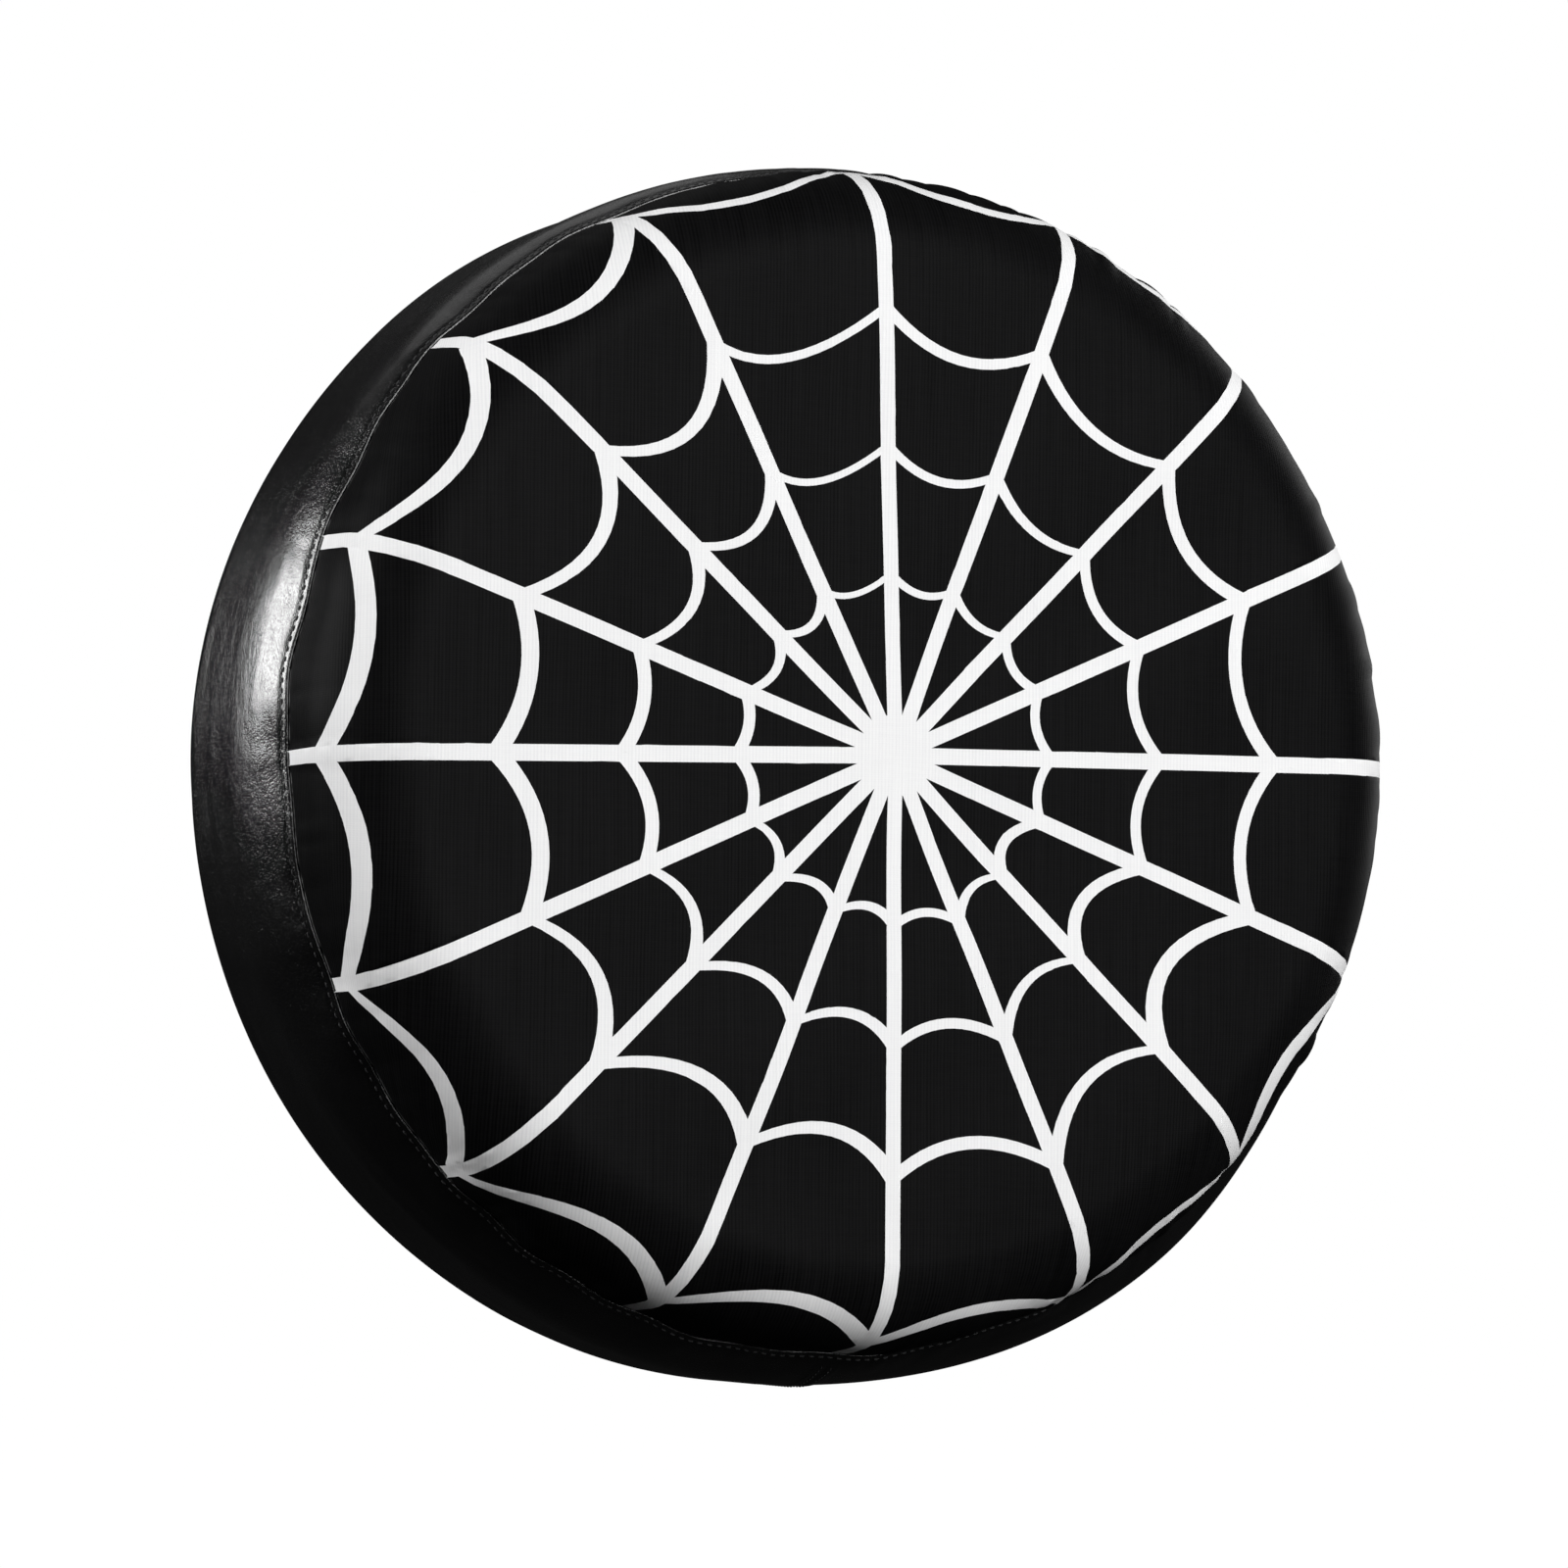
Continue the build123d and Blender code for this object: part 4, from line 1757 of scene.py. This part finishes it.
@dataclass
class Hem(RoundSheet):
    """The ruched casing at the open back, with its stitches."""

    cut: Cut
    ruche: Gathers
    columns: int = 900
    height: float = 3.0 * MM
    lip: float = 9.0 * MM
    pinch: float = 1.5 * MM
    puff: float = 1.7 * MM
    cloth: float = 0.8 * MM
    tunnel_outside: float = 10.5 * MM
    tunnel_depth: float = 7.0 * MM
    lip_overhang: float = 2.5 * MM
    ruche_fade: tuple[float, float] = (2.5 * MM, 12.0 * MM)
    section_rows: int = 34
    needle_lift: float = 0.15 * MM
    stitch_radius: float = 273.0 * MM
    pitch: float = 4.4 * MM
    stitch: float = 3.2 * MM
    thread: float = 0.75 * MM

    def __post_init__(self) -> None:
        """Works the section out: two lips over the band's edge and a tunnel for the elastic."""
        low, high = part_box("hem_casing")
        middle = (low.y + high.y) / 2
        tunnel_end = self.cut.return_edge_radius - self.tunnel_outside
        lip_end = self.cut.return_edge_radius + self.lip_overhang
        lip_start = lip_end - self.lip
        rear, front = middle + self.pinch, middle - self.pinch
        self.course = Course(
            np.array([(lip_end, rear), (lip_start, rear)]),
            np.array([(tunnel_end, middle + self.height)]),
            arc((tunnel_end - self.tunnel_depth, middle), self.height, 90.0, 270.0),
            np.array([(tunnel_end, middle - self.height)]),
            np.array([(lip_start, front), (lip_end, front)]),
        )

    def rise(self, angle: np.ndarray, distance: np.ndarray) -> np.ndarray:
        """Height of the ruching, which dies away at both lips."""
        from_edge = np.minimum(distance, self.course.length - distance)
        sway = 0.004 * np.sin(distance / (4.0 * MM))
        ridge = self.ruche.ridges(angle + sway, 0.0 * distance)
        return self.puff * (ridge - 0.35) * smooth(from_edge, *self.ruche_fade)

    def casing(self, wardrobe: Wardrobe) -> bpy.types.Object:
        """Makes the casing.

        Args:
            wardrobe: The materials.

        Returns:
            The piece.
        """
        rows = np.linspace(0.0, self.course.length, self.section_rows)
        columns = np.arange(self.columns) * FULL_TURN / self.columns
        points, cloth = self.laid(rows, columns)
        faces = quads(len(rows), self.columns)
        piece = make_object("hem_casing_cloth", points, faces, [wardrobe.casing], cloth)
        thicken(piece, self.cloth)
        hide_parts("hem_casing")
        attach(piece, Body.HEM.value)
        return piece

    def stitches(self, wardrobe: Wardrobe) -> bpy.types.Object:
        """Makes the row through both lips and the band, outside and inside.

        Args:
            wardrobe: The materials.

        Returns:
            The piece.
        """
        count = int(FULL_TURN * self.stitch_radius / self.pitch)
        turn = np.arange(count + 1) * FULL_TURN / count
        rows = []
        for from_end in (False, True):
            line = np.full(count + 1, self.course.where_radius(self.stitch_radius, from_end))
            places = self.surface(turn, line, self.needle_lift)
            outward = self.outward(turn, line)[:count]
            rows.append(
                row_of_stitches(
                    "hem_stitches", places, outward, self.stitch, self.thread, wardrobe.thread
                )
            )
        piece = join(rows)
        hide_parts("hem_thread")
        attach(piece, Body.HEM.value)
        return piece


# ------------------------------------------------------------------------------------ stage


@dataclass(frozen=True)
class Lamp:
    """A soft rectangular light that faces the cover: place, width and height, and watts."""

    name: str
    place: tuple[float, float, float]
    size: tuple[float, float]
    power: float

    def add(self) -> None:
        """Puts the light in the scene."""
        data = bpy.data.lights.new(self.name, "AREA")
        data.shape = "RECTANGLE"
        data.size, data.size_y = self.size
        data.energy = self.power
        lamp = bpy.data.objects.new(self.name, data)
        lamp.location = self.place
        lamp.rotation_euler = (-Vector(self.place)).to_track_quat("-Z", "Y").to_euler()
        bpy.context.scene.collection.objects.link(lamp)


@dataclass
class Studio:
    """Camera, lights, floor and background."""

    yaw: float = -25.8
    pitch: float = -3.7
    roll: float = -0.6
    distance: float = 3.61
    lens: float = 137.6
    shift: tuple[float, float] = (-0.0167, -0.0115)
    floor_drop: float = 0.75
    floor_size: float = 80.0
    ambient: float = 0.008
    lamps: tuple[Lamp, ...] = (
        Lamp("front", (0.7, -3.8, 1.1), (3.4, 3.4), 196.0),
        Lamp("left_softbox", (-2.45, 0.84, 0.74), (1.8, 0.84), 59.0),
        Lamp("top_softbox", (-0.17, 1.39, 2.42), (2.2, 2.1), 4.9),
        Lamp("back_fill", (3.15, 1.3, 0.9), (2.0, 2.0), 30.0),
    )

    def camera(self) -> None:
        """Places the camera and makes it the scene's."""
        yaw, pitch = math.radians(self.yaw), math.radians(self.pitch)
        back = Vector(
            (
                math.sin(yaw) * math.cos(pitch),
                -math.cos(yaw) * math.cos(pitch),
                math.sin(pitch),
            )
        )
        data = bpy.data.cameras.new("camera")
        data.lens, data.sensor_width = self.lens, 36.0
        data.shift_x, data.shift_y = self.shift
        camera = bpy.data.objects.new("camera", data)
        camera.location = back * self.distance
        camera.rotation_euler = (-back).to_track_quat("-Z", "Y").to_euler()
        camera.rotation_euler.rotate_axis("Z", math.radians(-self.roll))
        bpy.context.scene.collection.objects.link(camera)
        bpy.context.scene.camera = camera

    def world(self) -> None:
        """White background that gives next to no light of its own."""
        world = bpy.data.worlds.new("studio")
        world.use_nodes = True
        bpy.context.scene.world = world
        desk = Desk(world.node_tree)
        seen = desk.add("ShaderNodeLightPath", {}, {}).wire("Is Camera Ray")
        strength = seen * (1.0 - self.ambient) + self.ambient
        background = world.node_tree.nodes["Background"]
        background.inputs["Color"].default_value = (1.0, 1.0, 1.0, 1.0)
        world.node_tree.links.new(strength.socket, background.inputs["Strength"])

    def floor(self) -> None:
        """A plain pale floor, well below the cover, which throws no light up at it."""
        half, height = self.floor_size / 2, -self.floor_drop
        corners = [(-half, -half), (half, -half), (half, half), (-half, half)]
        points = np.array([(across, back, height) for across, back in corners])
        material, desk, shader = new_material("pale_floor")
        dress(desk, shader, Roughness=0.9, Specular_IOR_Level=0.0, Emission_Strength=1.0)
        shader.inputs["Base Color"].default_value = (0.05, 0.05, 0.05, 1.0)
        shader.inputs["Emission Color"].default_value = (1.0, 1.0, 1.0, 1.0)
        floor = make_object("floor", points, [(0, 1, 2, 3)], [material])
        floor.visible_diffuse = False
        floor.visible_glossy = False

    def build(self) -> None:
        """Sets the whole stage."""
        self.camera()
        self.world()
        self.floor()
        for lamp in self.lamps:
            lamp.add()
        bpy.context.scene.view_settings.view_transform = "Standard"


def refinish(node: str, material: bpy.types.Material) -> None:
    """Gives a node that keeps its own shape a better finish."""
    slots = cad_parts[node].data.materials
    slots.clear()
    slots.append(material)


def main() -> None:
    """Builds the cover and its stage."""
    logging.basicConfig(level=logging.INFO, format="%(name)s: %(message)s")
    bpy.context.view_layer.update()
    cut = read_cut()
    Studio().build()
    wardrobe = Wardrobe(cut)
    drape, rim = Drape(), Gathers(104, 3)
    pleats, tucks = Gathers(64, 8, sharpness=0.9), Gathers(168, 21, sharpness=0.9)
    band = SideBand(cut, drape, rim, pleats, tucks)
    face_seam, join_seam = FaceSeam(cut, band), ClosingJoin(cut, band)
    hem = Hem(cut, Gathers(190, 12))
    made = [
        FacePanel(cut, drape, rim).build(wardrobe),
        band.build(wardrobe),
        face_seam.stitches(wardrobe),
        face_seam.binding(wardrobe),
        join_seam.stitches(wardrobe),
        join_seam.strip(wardrobe),
        hem.casing(wardrobe),
        hem.stitches(wardrobe),
    ]
    refinish("hem_elastic", wardrobe.elastic)
    refinish("elastic_bar_tack", wardrobe.thread)
    for piece in made:
        log.info("%s: %d faces", piece.name, len(piece.data.polygons))


if __name__ == "__main__":
    main()
